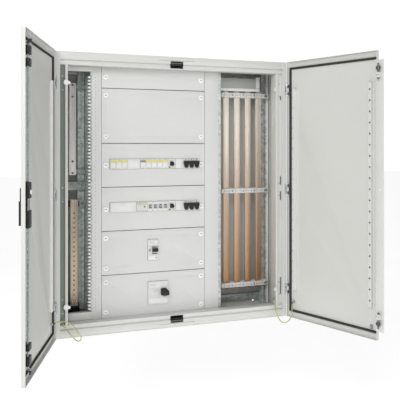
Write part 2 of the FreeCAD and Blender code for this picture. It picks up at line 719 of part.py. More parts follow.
def door_leaf(z):
    """Leaf inside the left door, closed, with two knuckles and the pin through them."""
    x = -HINGE_AXIS_X
    gap = 0.5
    pieces = [
        rod(PIN_RADIUS, point(x, HINGE_AXIS_Y, z - LEAF_HALF), Z_AXIS, 2 * LEAF_HALF),
        box(x + 1.6, x + 13.4, DOOR_INSIDE_Y, DOOR_INSIDE_Y + 1.2, z - LEAF_HALF, z + LEAF_HALF),
    ]
    for start, stop in ((-LEAF_HALF, -FIXED_KNUCKLE_HALF - gap), (FIXED_KNUCKLE_HALF + gap, LEAF_HALF)):
        length = stop - start
        pieces.append(rod(KNUCKLE_RADIUS, point(x, HINGE_AXIS_Y, z + start), Z_AXIS, length))
        pieces.append(box(x - 1.0, x + 7.0, DOOR_INSIDE_Y, HINGE_AXIS_Y, z + start, z + stop))
    return joined(pieces)


left_fixed = [fixed_leaf(z) for z in HINGE_Z]
parts["fixed_hinge_leaves"] = group(left_fixed + [mirrored_x(leaf) for leaf in left_fixed])

# ------------------------------------------------------------------------ doors
# Both doors are built closed and then turned open about their hinge lines.
HINGE_NOTCH_HALF = 27.0
DOOR_STUD_LENGTH = 12.0
LEFT_DOOR_STUD = point(-500.0, DOOR_INSIDE_Y, -541.0)
RIGHT_DOOR_STUD = point(520.5, DOOR_INSIDE_Y, -547.0)


def door_pan(x0, x1, hinge_x):
    """Door sheet with folded edges, notched at the hinges."""
    outer = box(x0, x1, DOOR_FACE_Y, DOOR_LIP_Y, -HALF_H, HALF_H)
    hollow = box(
        x0 + DOOR_SHEET,
        x1 - DOOR_SHEET,
        DOOR_INSIDE_Y,
        DOOR_LIP_Y + 1,
        -HALF_H + DOOR_SHEET,
        HALF_H - DOOR_SHEET,
    )
    pan = outer.cut(hollow)
    for z in HINGE_Z:
        pan = pan.cut(
            box(
                hinge_x - DOOR_SHEET - 0.1,
                hinge_x + DOOR_SHEET + 0.1,
                DOOR_INSIDE_Y,
                DOOR_LIP_Y + 1,
                z - HINGE_NOTCH_HALF,
                z + HINGE_NOTCH_HALF,
            )
        )
    return pan


def door_stud(foot):
    return rod(STUD_RADIUS, foot, Y_AXIS, DOOR_STUD_LENGTH)


def opened_left(shape):
    turned = shape.copy()
    turned.rotate(point(-HINGE_AXIS_X, HINGE_AXIS_Y, 0), Z_AXIS, -LEFT_DOOR_ANGLE)
    return turned


def opened_right(shape):
    turned = shape.copy()
    turned.rotate(point(HINGE_AXIS_X, HINGE_AXIS_Y, 0), Z_AXIS, RIGHT_DOOR_ANGLE)
    return turned


SPINDLE_RADIUS = 5.0
SPINDLE_BORE = SPINDLE_RADIUS + RUNNING_CLEARANCE
spindle_hole = rod(SPINDLE_BORE, point(ROD_X, DOOR_FACE_Y - 1, HANDLE_Z), Y_AXIS, DOOR_SHEET + 2)
left_pan = door_pan(-HALF_W, LEFT_DOOR_EDGE_X, -HALF_W).cut(spindle_hole)
left_door = {"left_door_panel": joined([left_pan, door_stud(LEFT_DOOR_STUD)])}

GASKET_HEIGHT = 11.0
GASKET_END_Y = DOOR_INSIDE_Y + GASKET_HEIGHT
GASKET_WIDTH = 9.0
GASKET_OUTER_Z = 597.0
SIDE_GASKET_INSET = 14.0
LEFT_GASKET_END_X = -4.0


def gasket(free_x, hinge_x):
    """Gasket on three sides: the free side seals on the lap strip."""
    inner_z = GASKET_OUTER_Z - GASKET_WIDTH
    x0 = min(free_x, hinge_x)
    x1 = max(free_x, hinge_x)
    hinge_inner = hinge_x + GASKET_WIDTH if hinge_x < free_x else hinge_x - GASKET_WIDTH
    outer = box(x0, x1, DOOR_INSIDE_Y, GASKET_END_Y, -GASKET_OUTER_Z, GASKET_OUTER_Z)
    beyond = free_x + 1 if hinge_x < free_x else free_x - 1
    inner = box(hinge_inner, beyond, DOOR_INSIDE_Y - 1, GASKET_END_Y + 1, -inner_z, inner_z)
    return outer.cut(inner)


left_door["left_door_gasket"] = gasket(LEFT_GASKET_END_X, SIDE_GASKET_INSET - HALF_W)

RAIL_HALF_H = 490.0
RAIL_DEPTH = 10.0


def stiffener(x0, x1):
    outer = box(x0, x1, DOOR_INSIDE_Y, DOOR_INSIDE_Y + RAIL_DEPTH, -RAIL_HALF_H, RAIL_HALF_H)
    hollow = box(
        x0 + DOOR_SHEET,
        x1 - DOOR_SHEET,
        DOOR_INSIDE_Y - 1,
        DOOR_INSIDE_Y + RAIL_DEPTH - DOOR_SHEET,
        -RAIL_HALF_H - 1,
        RAIL_HALF_H + 1,
    )
    return outer.cut(hollow)


left_door["left_door_rail"] = stiffener(-521.5, -500.5)

# ---- espagnolette lock: case, handle, two rods with hooks, guides
CASE_X = (-50.0, -14.0)
CASE_BACK_Y = -246.0
CASE_WALL = 2.0
ROD_HALF_WIDTH = 8.0
ROD_Y = (-257.0, -252.0)
CAM_Y = (-263.0, -259.0)
ROD_GAP = 1.0


def rod_slot(low, high):
    return box(
        ROD_X - ROD_HALF_WIDTH - ROD_GAP,
        ROD_X + ROD_HALF_WIDTH + ROD_GAP,
        ROD_Y[0] - ROD_GAP,
        ROD_Y[1] + ROD_GAP,
        low,
        high,
    )


def lock_case():
    low = -76.0
    high = 85.0
    case = box(*CASE_X, DOOR_INSIDE_Y, CASE_BACK_Y, low, high)
    waist = box(CASE_X[0] - 1, CASE_X[1] + 1, CASE_BACK_Y - 7.0, CASE_BACK_Y + 1, -14.0, 28.0)
    hollow = box(
        CASE_X[0] + CASE_WALL,
        CASE_X[1] - CASE_WALL,
        DOOR_INSIDE_Y + CASE_WALL,
        CASE_BACK_Y - 7.0 - CASE_WALL,
        low + CASE_WALL,
        high - CASE_WALL,
    )
    bore = rod(SPINDLE_BORE, point(ROD_X, DOOR_INSIDE_Y - 1, HANDLE_Z), Y_AXIS, 30.0)
    return case.cut(waist).cut(hollow).cut(rod_slot(low - 1, high + 1)).cut(bore)


ESCUTCHEON_Y = DOOR_FACE_Y - 5.0


def escutcheon():
    plate = box(ROD_X - 15.0, ROD_X + 15.0, ESCUTCHEON_Y, DOOR_FACE_Y, -72.0, 66.0)
    bore = rod(SPINDLE_BORE, point(ROD_X, ESCUTCHEON_Y - 1, HANDLE_Z), Y_AXIS, 8.0)
    return plate.cut(bore)


left_door["lock_case"] = lock_case()
left_door["handle_escutcheon"] = escutcheon()


def door_handle():
    """Outside lever with its spindle, the cam inside the case and the inner end knob."""
    lever_y = ESCUTCHEON_Y - 0.6
    upper = box(ROD_X - 12.0, ROD_X + 12.0, lever_y - 6.0, lever_y, 18.0, HANDLE_Z + 14.0)
    lower = box(ROD_X - 12.0, ROD_X + 12.0, lever_y - 10.0, lever_y, -68.0, 18.0)
    knob_y = CASE_BACK_Y + 0.5
    spindle = rod(SPINDLE_RADIUS, point(ROD_X, lever_y, HANDLE_Z), Y_AXIS, knob_y - lever_y)
    cam = rod(13.0, point(ROD_X, CAM_Y[0], HANDLE_Z), Y_AXIS, CAM_Y[1] - CAM_Y[0])
    knob = rod(8.0, point(ROD_X, knob_y, HANDLE_Z), Y_AXIS, 5.0)
    return joined([upper, lower, spindle, cam, knob])


left_door["door_handle"] = door_handle()

ROD_END_Z = 578.0
HOOK_ARM_HEIGHT = 6.5
HOOK_TIP_Z = 590.0
HOOK_Y = (-247.4, -241.5)
HOOK_X = (-34.0, -16.0)


def upper_rod():
    """Flat rod with a hook: an arm towards the cabinet and a tip standing upwards."""
    bar = box(ROD_X - ROD_HALF_WIDTH, ROD_X + ROD_HALF_WIDTH, *ROD_Y, 72.0, ROD_END_Z)
    arm = box(*HOOK_X, ROD_Y[0], HOOK_Y[1], ROD_END_Z - HOOK_ARM_HEIGHT, ROD_END_Z)
    tip = box(*HOOK_X, *HOOK_Y, ROD_END_Z - HOOK_ARM_HEIGHT, HOOK_TIP_Z)
    return joined([bar, arm, tip])


def lower_rod():
    bar = box(ROD_X - ROD_HALF_WIDTH, ROD_X + ROD_HALF_WIDTH, *ROD_Y, -ROD_END_Z, 28.0)
    arm = box(*HOOK_X, ROD_Y[0], HOOK_Y[1], -ROD_END_Z, -ROD_END_Z + HOOK_ARM_HEIGHT)
    tip = box(*HOOK_X, *HOOK_Y, -HOOK_TIP_Z, -ROD_END_Z + HOOK_ARM_HEIGHT)
    return joined([bar, arm, tip])


left_door["upper_rod"] = upper_rod()
left_door["lower_rod"] = lower_rod()


def rod_guide(low, high):
    block = box(*CASE_X, DOOR_INSIDE_Y, CASE_BACK_Y, low, high)
    return block.cut(rod_slot(low - 1, high + 1))


left_door["rod_guides"] = group(
    [
        rod_guide(534.0, 566.0),
        rod_guide(492.0, 520.0),
        rod_guide(-507.0, -482.0),
        rod_guide(-560.0, -526.0),
    ]
)
left_door["left_door_hinge_leaves"] = group([door_leaf(z) for z in HINGE_Z])
for node_name, node_shape in left_door.items():
    parts[node_name] = opened_left(node_shape)

# ---- right door with its lap strip and sliding bolts
LAP_Y = (-250.3, -248.8)
LAP_X0 = -12.0
LAP_HALF_H = 582.0


def right_panel():
    pan = door_pan(RIGHT_DOOR_EDGE_X, HALF_W, HALF_W)
    edge = RIGHT_DOOR_EDGE_X
    step = box(edge, edge + DOOR_SHEET, DOOR_FACE_Y, LAP_Y[1], -LAP_HALF_H, LAP_HALF_H)
    strip = box(LAP_X0, edge + DOOR_SHEET, *LAP_Y, -LAP_HALF_H, LAP_HALF_H)
    return joined([pan, step, strip, door_stud(RIGHT_DOOR_STUD)])


right_door = {
    "right_door_panel": right_panel(),
    "right_door_gasket": gasket(RIGHT_DOOR_EDGE_X + 4.0, HALF_W - SIDE_GASKET_INSET),
    "right_door_rails": group([stiffener(503.5, 524.5), stiffener(51.5, 77.5)]),
    "right_door_hinge_leaves": group([mirrored_x(door_leaf(z)) for z in HINGE_Z]),
}

BOLT_RADIUS = 4.0
BOLT_TOP_Z = 566.0
BOLT_LOW_Z = 498.0
BOLT_GUIDE_X = (BOLT_X - 8.5, BOLT_X + 8.5)
BOLT_GUIDE_Z = (505.0, 527.0)
RING_Z = 546.0


def bolt_guide():
    block = box(*BOLT_GUIDE_X, LAP_Y[1], BOLT_Y + 7.0, *BOLT_GUIDE_Z)
    bore_start = point(BOLT_X, BOLT_Y, BOLT_GUIDE_Z[0] - 1)
    return block.cut(rod(BOLT_RADIUS + 0.4, bore_start, Z_AXIS, 30.0))


def sliding_bolt():
    """Round bolt with its pull ring between the guide and the door's end."""
    shank = rod(BOLT_RADIUS, point(BOLT_X, BOLT_Y, BOLT_LOW_Z), Z_AXIS, BOLT_TOP_Z - BOLT_LOW_Z)
    ring = Part.makeTorus(9.5, 1.8, point(BOLT_X, BOLT_Y, RING_Z), Y_AXIS)
    return joined([shank, ring])


right_door["bolt_guides"] = group([bolt_guide(), mirrored_z(bolt_guide())])
right_door["upper_bolt"] = sliding_bolt()
right_door["lower_bolt"] = mirrored_z(sliding_bolt())
for node_name, node_shape in right_door.items():
    parts[node_name] = opened_right(node_shape)


# ------------------------------------------------------------------ earth leads
def lead_path(name, route):
    """Straight runs joined by tangent arcs, each as large as its two runs allow."""
    corners = [FreeCAD.Vector(*p) for p in route]
    edges = []
    radii = []
    start = corners[0]
    for before, corner, after in zip(corners, corners[1:], corners[2:]):
        run_in = before - corner
        run_out = after - corner
        turn = math.pi - run_in.getAngle(run_out)
        shorter = min(run_in.Length, run_out.Length)
        reach = 0.45 * shorter
        radius = reach / math.tan(turn / 2)
        radii.append(radius)
        towards_in = FreeCAD.Vector(run_in).normalize()
        towards_out = FreeCAD.Vector(run_out).normalize()
        first = corner + towards_in * reach
        last = corner + towards_out * reach
        middle_way = FreeCAD.Vector(towards_in + towards_out).normalize()
        to_centre = math.hypot(radius, reach)
        middle = corner + middle_way * (to_centre - radius)
        edges.append(Part.LineSegment(start, first).toShape())
        edges.append(Part.Arc(first, middle, last).toShape())
        start = last
    edges.append(Part.LineSegment(start, corners[-1]).toShape())
    print(name, "radii", [round(r) for r in radii])
    return Part.Wire(edges)


def lead(name, route):
    path = lead_path(name, route)
    direction = path.Edges[0].tangentAt(path.Edges[0].FirstParameter)
    section = Part.Wire([Part.makeCircle(LEAD_DIAMETER / 2, FreeCAD.Vector(*route[0]), direction)])
    tube = path.makePipeShell([section], True, False)
    area = math.pi * LEAD_DIAMETER ** 2 / 4
    print(name, "length", round(path.Length, 1), "volume ratio", round(tube.Volume / (area * path.Length), 3))
    return tube


parts["left_earth_lead"] = lead("left_earth_lead", LEFT_LEAD_ROUTE)
parts["right_earth_lead"] = lead("right_earth_lead", RIGHT_LEAD_ROUTE)

# ----------------------------------------------------------------------- export
os.makedirs("parts", exist_ok=True)
for node_name, node_shape in parts.items():
    node_shape.exportStep("parts/" + node_name + ".step")
print(len(parts), "nodes")
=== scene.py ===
import json
import math
import random

import bmesh
import bpy
from mathutils import Matrix, Vector


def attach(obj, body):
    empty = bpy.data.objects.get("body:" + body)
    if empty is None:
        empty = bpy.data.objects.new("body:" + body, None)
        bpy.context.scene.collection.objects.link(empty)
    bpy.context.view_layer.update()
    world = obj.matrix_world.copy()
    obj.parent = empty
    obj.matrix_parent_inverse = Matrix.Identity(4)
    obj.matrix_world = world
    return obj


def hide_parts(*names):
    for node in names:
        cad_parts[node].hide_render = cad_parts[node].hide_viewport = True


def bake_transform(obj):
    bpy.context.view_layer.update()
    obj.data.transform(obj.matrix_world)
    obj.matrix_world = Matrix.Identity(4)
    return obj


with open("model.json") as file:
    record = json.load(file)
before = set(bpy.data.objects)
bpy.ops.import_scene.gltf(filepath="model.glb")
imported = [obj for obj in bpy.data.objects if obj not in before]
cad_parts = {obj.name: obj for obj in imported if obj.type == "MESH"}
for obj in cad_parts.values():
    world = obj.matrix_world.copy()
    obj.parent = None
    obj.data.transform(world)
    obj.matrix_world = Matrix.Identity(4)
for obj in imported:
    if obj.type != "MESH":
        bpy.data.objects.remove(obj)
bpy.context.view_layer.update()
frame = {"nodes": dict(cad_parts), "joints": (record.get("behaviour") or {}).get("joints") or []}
random.seed(7)

# Lengths in the geometry code are millimetres in the row frame; objects are in metres.
# Door pieces are built with their door closed and then turned to the open position.
MM = 0.001
NODES = frame["nodes"]
JOINTS = {joint["name"]: joint for joint in frame["joints"]}
TO_FRONT = (0, -1, 0)
TO_BACK = (0, 1, 0)
FRONT_Y = -250.0
LIP_Y = -246.0
GROOVE_Y = -236.0
COVER_FACE_Y = -190.0
DOOR_INSIDE_Y = -267.0
CASE_FACE_Y = -246.0


def added(name, mesh):
    """A new object of a mesh, in the scene."""
    made = bpy.data.objects.new(name, mesh)
    bpy.context.scene.collection.objects.link(made)
    return made


# ---- camera
def add_camera():
    """The photograph's view: from the left of the front, a little above the middle."""
    data = bpy.data.cameras.new("view_camera")
    data.lens = 59.74
    data.sensor_width = 36.0
    data.shift_y = -0.133
    camera = added("view_camera", data)
    camera.location = (-1.012, -3.1533, 0.209)
    camera.rotation_euler = (math.radians(90.0), 0.0, math.radians(-21.08))
    bpy.context.scene.camera = camera


add_camera()


# ---- materials
def linear(value):
    """A screen value, 0 to 1, as linear light."""
    return value / 12.92 if value <= 0.04045 else ((value + 0.055) / 1.055) ** 2.4


def shade(screen):
    """A linear colour from 0-255 screen values."""
    return (*(linear(value / 255) for value in screen), 1.0)


BLACK = (0.0, 0.0, 0.0, 1.0)
DUST = (0.35, 0.35, 0.33, 1.0)
WHITE = (1.0, 1.0, 1.0, 1.0)


def mixed(colour, other, share):
    """One colour blended towards another."""
    return tuple(a + (b - a) * share for a, b in zip(colour, other))


def new_node(tree, kind, values=None):
    """A shader node with constants set on its inputs."""
    node = tree.nodes.new("ShaderNode" + kind)
    for socket, value in (values or {}).items():
        node.inputs[socket].default_value = value
    return node


def map_range(start, stop, low, high):
    """The inputs that map start to low and stop to high."""
    return {"From Min": start, "From Max": stop, "To Min": low, "To Max": high}


class Recipe:
    """A node material: object coordinates in, one principled shader out."""

    def __init__(self, name, metallic=0.0, specular=0.5, coat=0.0):
        self.material = bpy.data.materials.new(name)
        self.material.use_nodes = True
        self.tree = self.material.node_tree
        self.shader = self.tree.nodes["Principled BSDF"]
        self.shader.inputs["Metallic"].default_value = metallic
        self.shader.inputs["Specular IOR Level"].default_value = specular
        self.shader.inputs["Coat Weight"].default_value = coat
        self.coordinates = new_node(self.tree, "TexCoord").outputs["Object"]

    def link(self, source, target):
        self.tree.links.new(source, target)

    def stretched(self, scale):
        mapping = new_node(self.tree, "Mapping", {"Scale": scale})
        self.link(self.coordinates, mapping.inputs["Vector"])
        return mapping.outputs["Vector"]

    def noise(self, scale, detail=4.0, vector=None):
        node = new_node(self.tree, "TexNoise", {"Scale": scale, "Detail": detail})
        self.link(vector or self.coordinates, node.inputs["Vector"])
        return node.outputs["Fac"]

    def cells(self, scale):
        node = new_node(self.tree, "TexVoronoi", {"Scale": scale})
        self.link(self.coordinates, node.inputs["Vector"])
        channel = new_node(self.tree, "SeparateColor")
        self.link(node.outputs["Color"], channel.inputs["Color"])
        return channel.outputs["Red"]

    def ramp(self, factor, stops):
        node = new_node(self.tree, "ValToRGB")
        elements = node.color_ramp.elements
        while len(elements) < len(stops):
            elements.new(0.5)
        for element, (place, colour) in zip(elements, stops):
            element.position = place
            element.color = colour
        self.link(factor, node.inputs["Fac"])
        return node.outputs["Color"]

    def mix(self, factor, first, second):
        node = new_node(self.tree, "Mix")
        node.data_type = "RGBA"
        self.link(factor, node.inputs["Factor"])
        self.link(first, node.inputs["A"])
        self.link(second, node.inputs["B"])
        return node.outputs["Result"]

    def spread(self, factor, low, high, start=0.3, stop=0.7):
        node = new_node(self.tree, "MapRange", map_range(start, stop, low, high))
        self.link(factor, node.inputs["Value"])
        return node.outputs["Result"]

    def colour(self, output):
        self.link(output, self.shader.inputs["Base Color"])

    def roughness(self, output):
        self.link(output, self.shader.inputs["Roughness"])

    def bump(self, height, strength, distance):
        node = new_node(self.tree, "Bump", {"Strength": strength, "Distance": distance})
        self.link(height, node.inputs["Height"])
        self.link(node.outputs["Normal"], self.shader.inputs["Normal"])


def powder_paint(name, screen, darker=0.07):
    """Powder coat: orange-peel bump, faint cloudy tone and rubbed, smoother patches."""
    colour = shade(screen)
    recipe = Recipe(name, specular=0.45)
    dark = mixed(colour, BLACK, darker)
    cloud = recipe.ramp(recipe.noise(3.5), [(0.3, dark), (0.62, colour)])
    speck = recipe.ramp(recipe.noise(420.0, 2.0), [(0.30, dark), (0.36, colour)])
    recipe.colour(recipe.mix(recipe.noise(60.0), cloud, speck))
    recipe.roughness(recipe.spread(recipe.noise(9.0, 6.0), 0.34, 0.52))
    recipe.bump(recipe.noise(1100.0, 2.0), 0.18, 0.0004)
    return recipe.material


def moulded_plastic(name, screen, rough=0.42, darker=0.10, coat=0.0):
    """Moulded plastic: spark-eroded grain, small tone changes and handling marks."""
    colour = shade(screen)
    recipe = Recipe(name, specular=0.5, coat=coat)
    dark = mixed(colour, BLACK, darker)
    recipe.colour(recipe.ramp(recipe.noise(26.0, 5.0), [(0.35, dark), (0.6, colour)]))
    recipe.roughness(recipe.spread(recipe.noise(80.0, 4.0), rough - 0.07, rough + 0.1))
    recipe.bump(recipe.noise(1500.0, 3.0), 0.25, 0.0002)
    return recipe.material


def galvanised_sheet(name, light, dark):
    """Zinc coating: irregular crystals that differ in tone and gloss, with dull stains."""
    light = shade(light)
    dark = shade(dark)
    recipe = Recipe(name, metallic=0.4)
    crystal = recipe.cells(75.0)
    stain = recipe.noise(14.0, 6.0)
    spangle = recipe.ramp(crystal, [(0.0, dark), (1.0, light)])
    dull = recipe.ramp(crystal, [(0.0, mixed(dark, light, 0.3)), (1.0, mixed(dark, light, 0.6))])
    recipe.colour(recipe.mix(stain, spangle, dull))
    recipe.roughness(recipe.spread(crystal, 0.30, 0.52, 0.0, 1.0))
    recipe.bump(recipe.noise(240.0, 4.0), 0.12, 0.0003)
    return recipe.material


def bar_copper(name, light, dark, stain_and_shade_share=0.35):
    """Rolled copper bar: fine lines along Z and darker tarnish streaks; the colour is painted light
    at the top and painted shade towards the bottom, and the streaks darken with it.
    """
    light = shade(light)
    dark = shade(dark)
    recipe = Recipe(name, metallic=0.5)
    lines = recipe.noise(9.0, 5.0, recipe.stretched((30.0, 30.0, 0.5)))
    split = new_node(recipe.tree, "SeparateXYZ")
    recipe.link(recipe.coordinates, split.inputs["Vector"])
    # Painted light and shade: the colour runs from the dark, shaded bottom to the light, lit top of
    # the bar.
    height = recipe.spread(split.outputs["Z"], 0.0, 1.0, -0.55, 0.35)
    painted_height_light = recipe.ramp(height, [(0.0, dark), (0.55, mixed(dark, light, 0.42)), (1.0, light)])
    stain_with_painted_shade = mixed(dark, BLACK, stain_and_shade_share)
    oxide_with_painted_shade = recipe.ramp(height, [(0.0, stain_with_painted_shade), (1.0, mixed(light, dark, 0.5))])
    recipe.colour(recipe.mix(recipe.spread(lines, 0.0, 0.25, 0.42, 0.75), painted_height_light, oxide_with_painted_shade))
    recipe.roughness(recipe.spread(lines, 0.22, 0.42))
    recipe.bump(lines, 0.03, 0.0002)
    return recipe.material


def plated_steel(name, screen, rough=0.3):
    """Zinc-plated steel: turned or drawn streaks and slightly dulled patches."""
    colour = shade(screen)
    recipe = Recipe(name, metallic=0.9)
    streak = recipe.noise(40.0, 4.0, recipe.stretched((6.0, 6.0, 0.6)))
    dark = mixed(colour, BLACK, 0.35)
    recipe.colour(recipe.ramp(streak, [(0.32, dark), (0.6, colour)]))
    recipe.roughness(recipe.spread(recipe.noise(120.0), rough - 0.08, rough + 0.14))
    recipe.bump(recipe.noise(900.0, 2.0), 0.15, 0.0002)
    return recipe.material


def foam_rubber(name, screen):
    """Foamed gasket: open pores, dusty high spots."""
    colour = shade(screen)
    recipe = Recipe(name, specular=0.25)
    pores = recipe.noise(900.0, 5.0)
    dusty = mixed(colour, DUST, 0.25)
    recipe.colour(recipe.ramp(pores, [(0.4, colour), (0.75, dusty)]))
    recipe.roughness(recipe.spread(pores, 0.75, 0.95))
    recipe.bump(pores, 0.6, 0.0006)
    return recipe.material


PAINT = powder_paint("cabinet_paint", (217, 217, 213))
INSIDE_PAINT = powder_paint("cover_paint", (218, 218, 216), 0.05)
WHITE_PAINT = powder_paint("profile_paint", (217, 217, 215), 0.05)
RAIL_PAINT = powder_paint("rail_paint", (228, 228, 225), 0.05)
# Dark grey paint for the left groove's strip: painted shade for the open left door's shadow in the
# groove.
GROOVE_SHADE_PAINT = powder_paint("groove_painted_shade", (124, 130, 122), 0.12)
SHEET_PAINT = powder_paint("sheet_paint", (188, 190, 186), 0.10)
WHITE_PLASTIC = moulded_plastic("white_plastic", (246, 246, 244), 0.35, 0.05)
DEVICE_GREY = moulded_plastic("device_plastic", (226, 226, 223), 0.40, 0.06)
PALE_PLASTIC = moulded_plastic("blanking_plastic", (232, 232, 230), 0.42, 0.05)
BREAKER_GREY = moulded_plastic("breaker_plastic", (220, 220, 218), 0.40, 0.06)
LINE_GREY = moulded_plastic("seam_grey", (150, 152, 152), 0.55, 0.15)
BLACK_PLASTIC = moulded_plastic("black_plastic", (20, 20, 21), 0.42, 0.35)
# Dark grey plastic parts, and the painted shade in wells, slots, holes, notches and gaps.
DARK_GREY_AND_SHADE = moulded_plastic("dark_grey_plastic_and_shade", (72, 72, 76), 0.42, 0.25)
TOGGLE_GREY = moulded_plastic("toggle_grey", (172, 173, 174), 0.42, 0.12)
YELLOW_LABEL = moulded_plastic("yellow_label", (228, 220, 128), 0.5, 0.10)
BEIGE_LABEL = moulded_plastic("beige_label", (206, 202, 158), 0.5, 0.10)
BLANK_LINE = moulded_plastic("blanking_line", (214, 214, 211), 0.5, 0.08)
CLEAR_GREY = moulded_plastic("window_grey", (222, 224, 223), 0.15, 0.06, coat=0.6)
ZINC = galvanised_sheet("galvanised_steel", (206, 210, 206), (146, 152, 149))
# A lighter copy of the zinc, painted light: it brightens the uprights that stand in the shade of the
# left door and the lip.
UPRIGHT_ZINC_PAINTED_LIGHT = galvanised_sheet("upright_zinc_painted_light", (236, 240, 236), (158, 166, 162))
# A darker copy of the zinc: painted shade for the terminal bores.
DARK_ZINC = galvanised_sheet("shaded_zinc", (140, 145, 142), (86, 92, 90))
# Each bar's first colour is its painted lit top, the second its painted shaded bottom.
COPPER = bar_copper("busbar_copper", (255, 246, 232), (180, 126, 74))
TINNED = bar_copper("tinned_bar", (214, 213, 208), (188, 184, 176), 0.25)
# A pale bar that turns coppery towards the bottom, through the painted height gradient of light and
# shade.
TINNED_COPPERY_BELOW = bar_copper("tinned_bar_coppery_below", (206, 200, 186), (212, 190, 164), 0.2)
STEEL = plated_steel("plated_steel", (198, 200, 202))
DARK_STEEL = plated_steel("dark_steel", (120, 122, 124), 0.4)
ROD_STEEL = plated_steel("rod_steel", (186, 200, 206), 0.25)
FOAM = foam_rubber("foam_gasket", (38, 39, 38))
LEAD_GREEN = moulded_plastic("lead_green", (134, 154, 98), 0.4, 0.15)
LEAD_YELLOW = moulded_plastic("lead_yellow", (208, 208, 134), 0.4, 0.10)


# ---- mesh tools
def rounded(shape, edges, width, clamped=False):
    """Rounds edges with a bevel in two steps."""
    style = {"segments": 2, "profile": 0.5, "affect": "EDGES", "clamp_overlap": clamped}
    bmesh.ops.bevel(shape, geom=edges, offset=width, **style)


def extruded(shape, faces, shift):
    """Extrudes faces and moves the new ones by shift."""
    grown = bmesh.ops.extrude_face_region(shape, geom=faces)
    for item in grown["geom"]:
        if isinstance(item, bmesh.types.BMVert):
            item.co += shift


def finished_mesh(name, shape, materials, sharp_degrees):
    """A smooth-shaded mesh with sharp corners, made of a bmesh."""
    mesh = bpy.data.meshes.new(name)
    shape.to_mesh(mesh)
    shape.free()
    for material in materials:
        mesh.materials.append(material)
    for polygon in mesh.polygons:
        polygon.use_smooth = True
    mesh.set_sharp_from_angle(angle=math.radians(sharp_degrees))
    return mesh


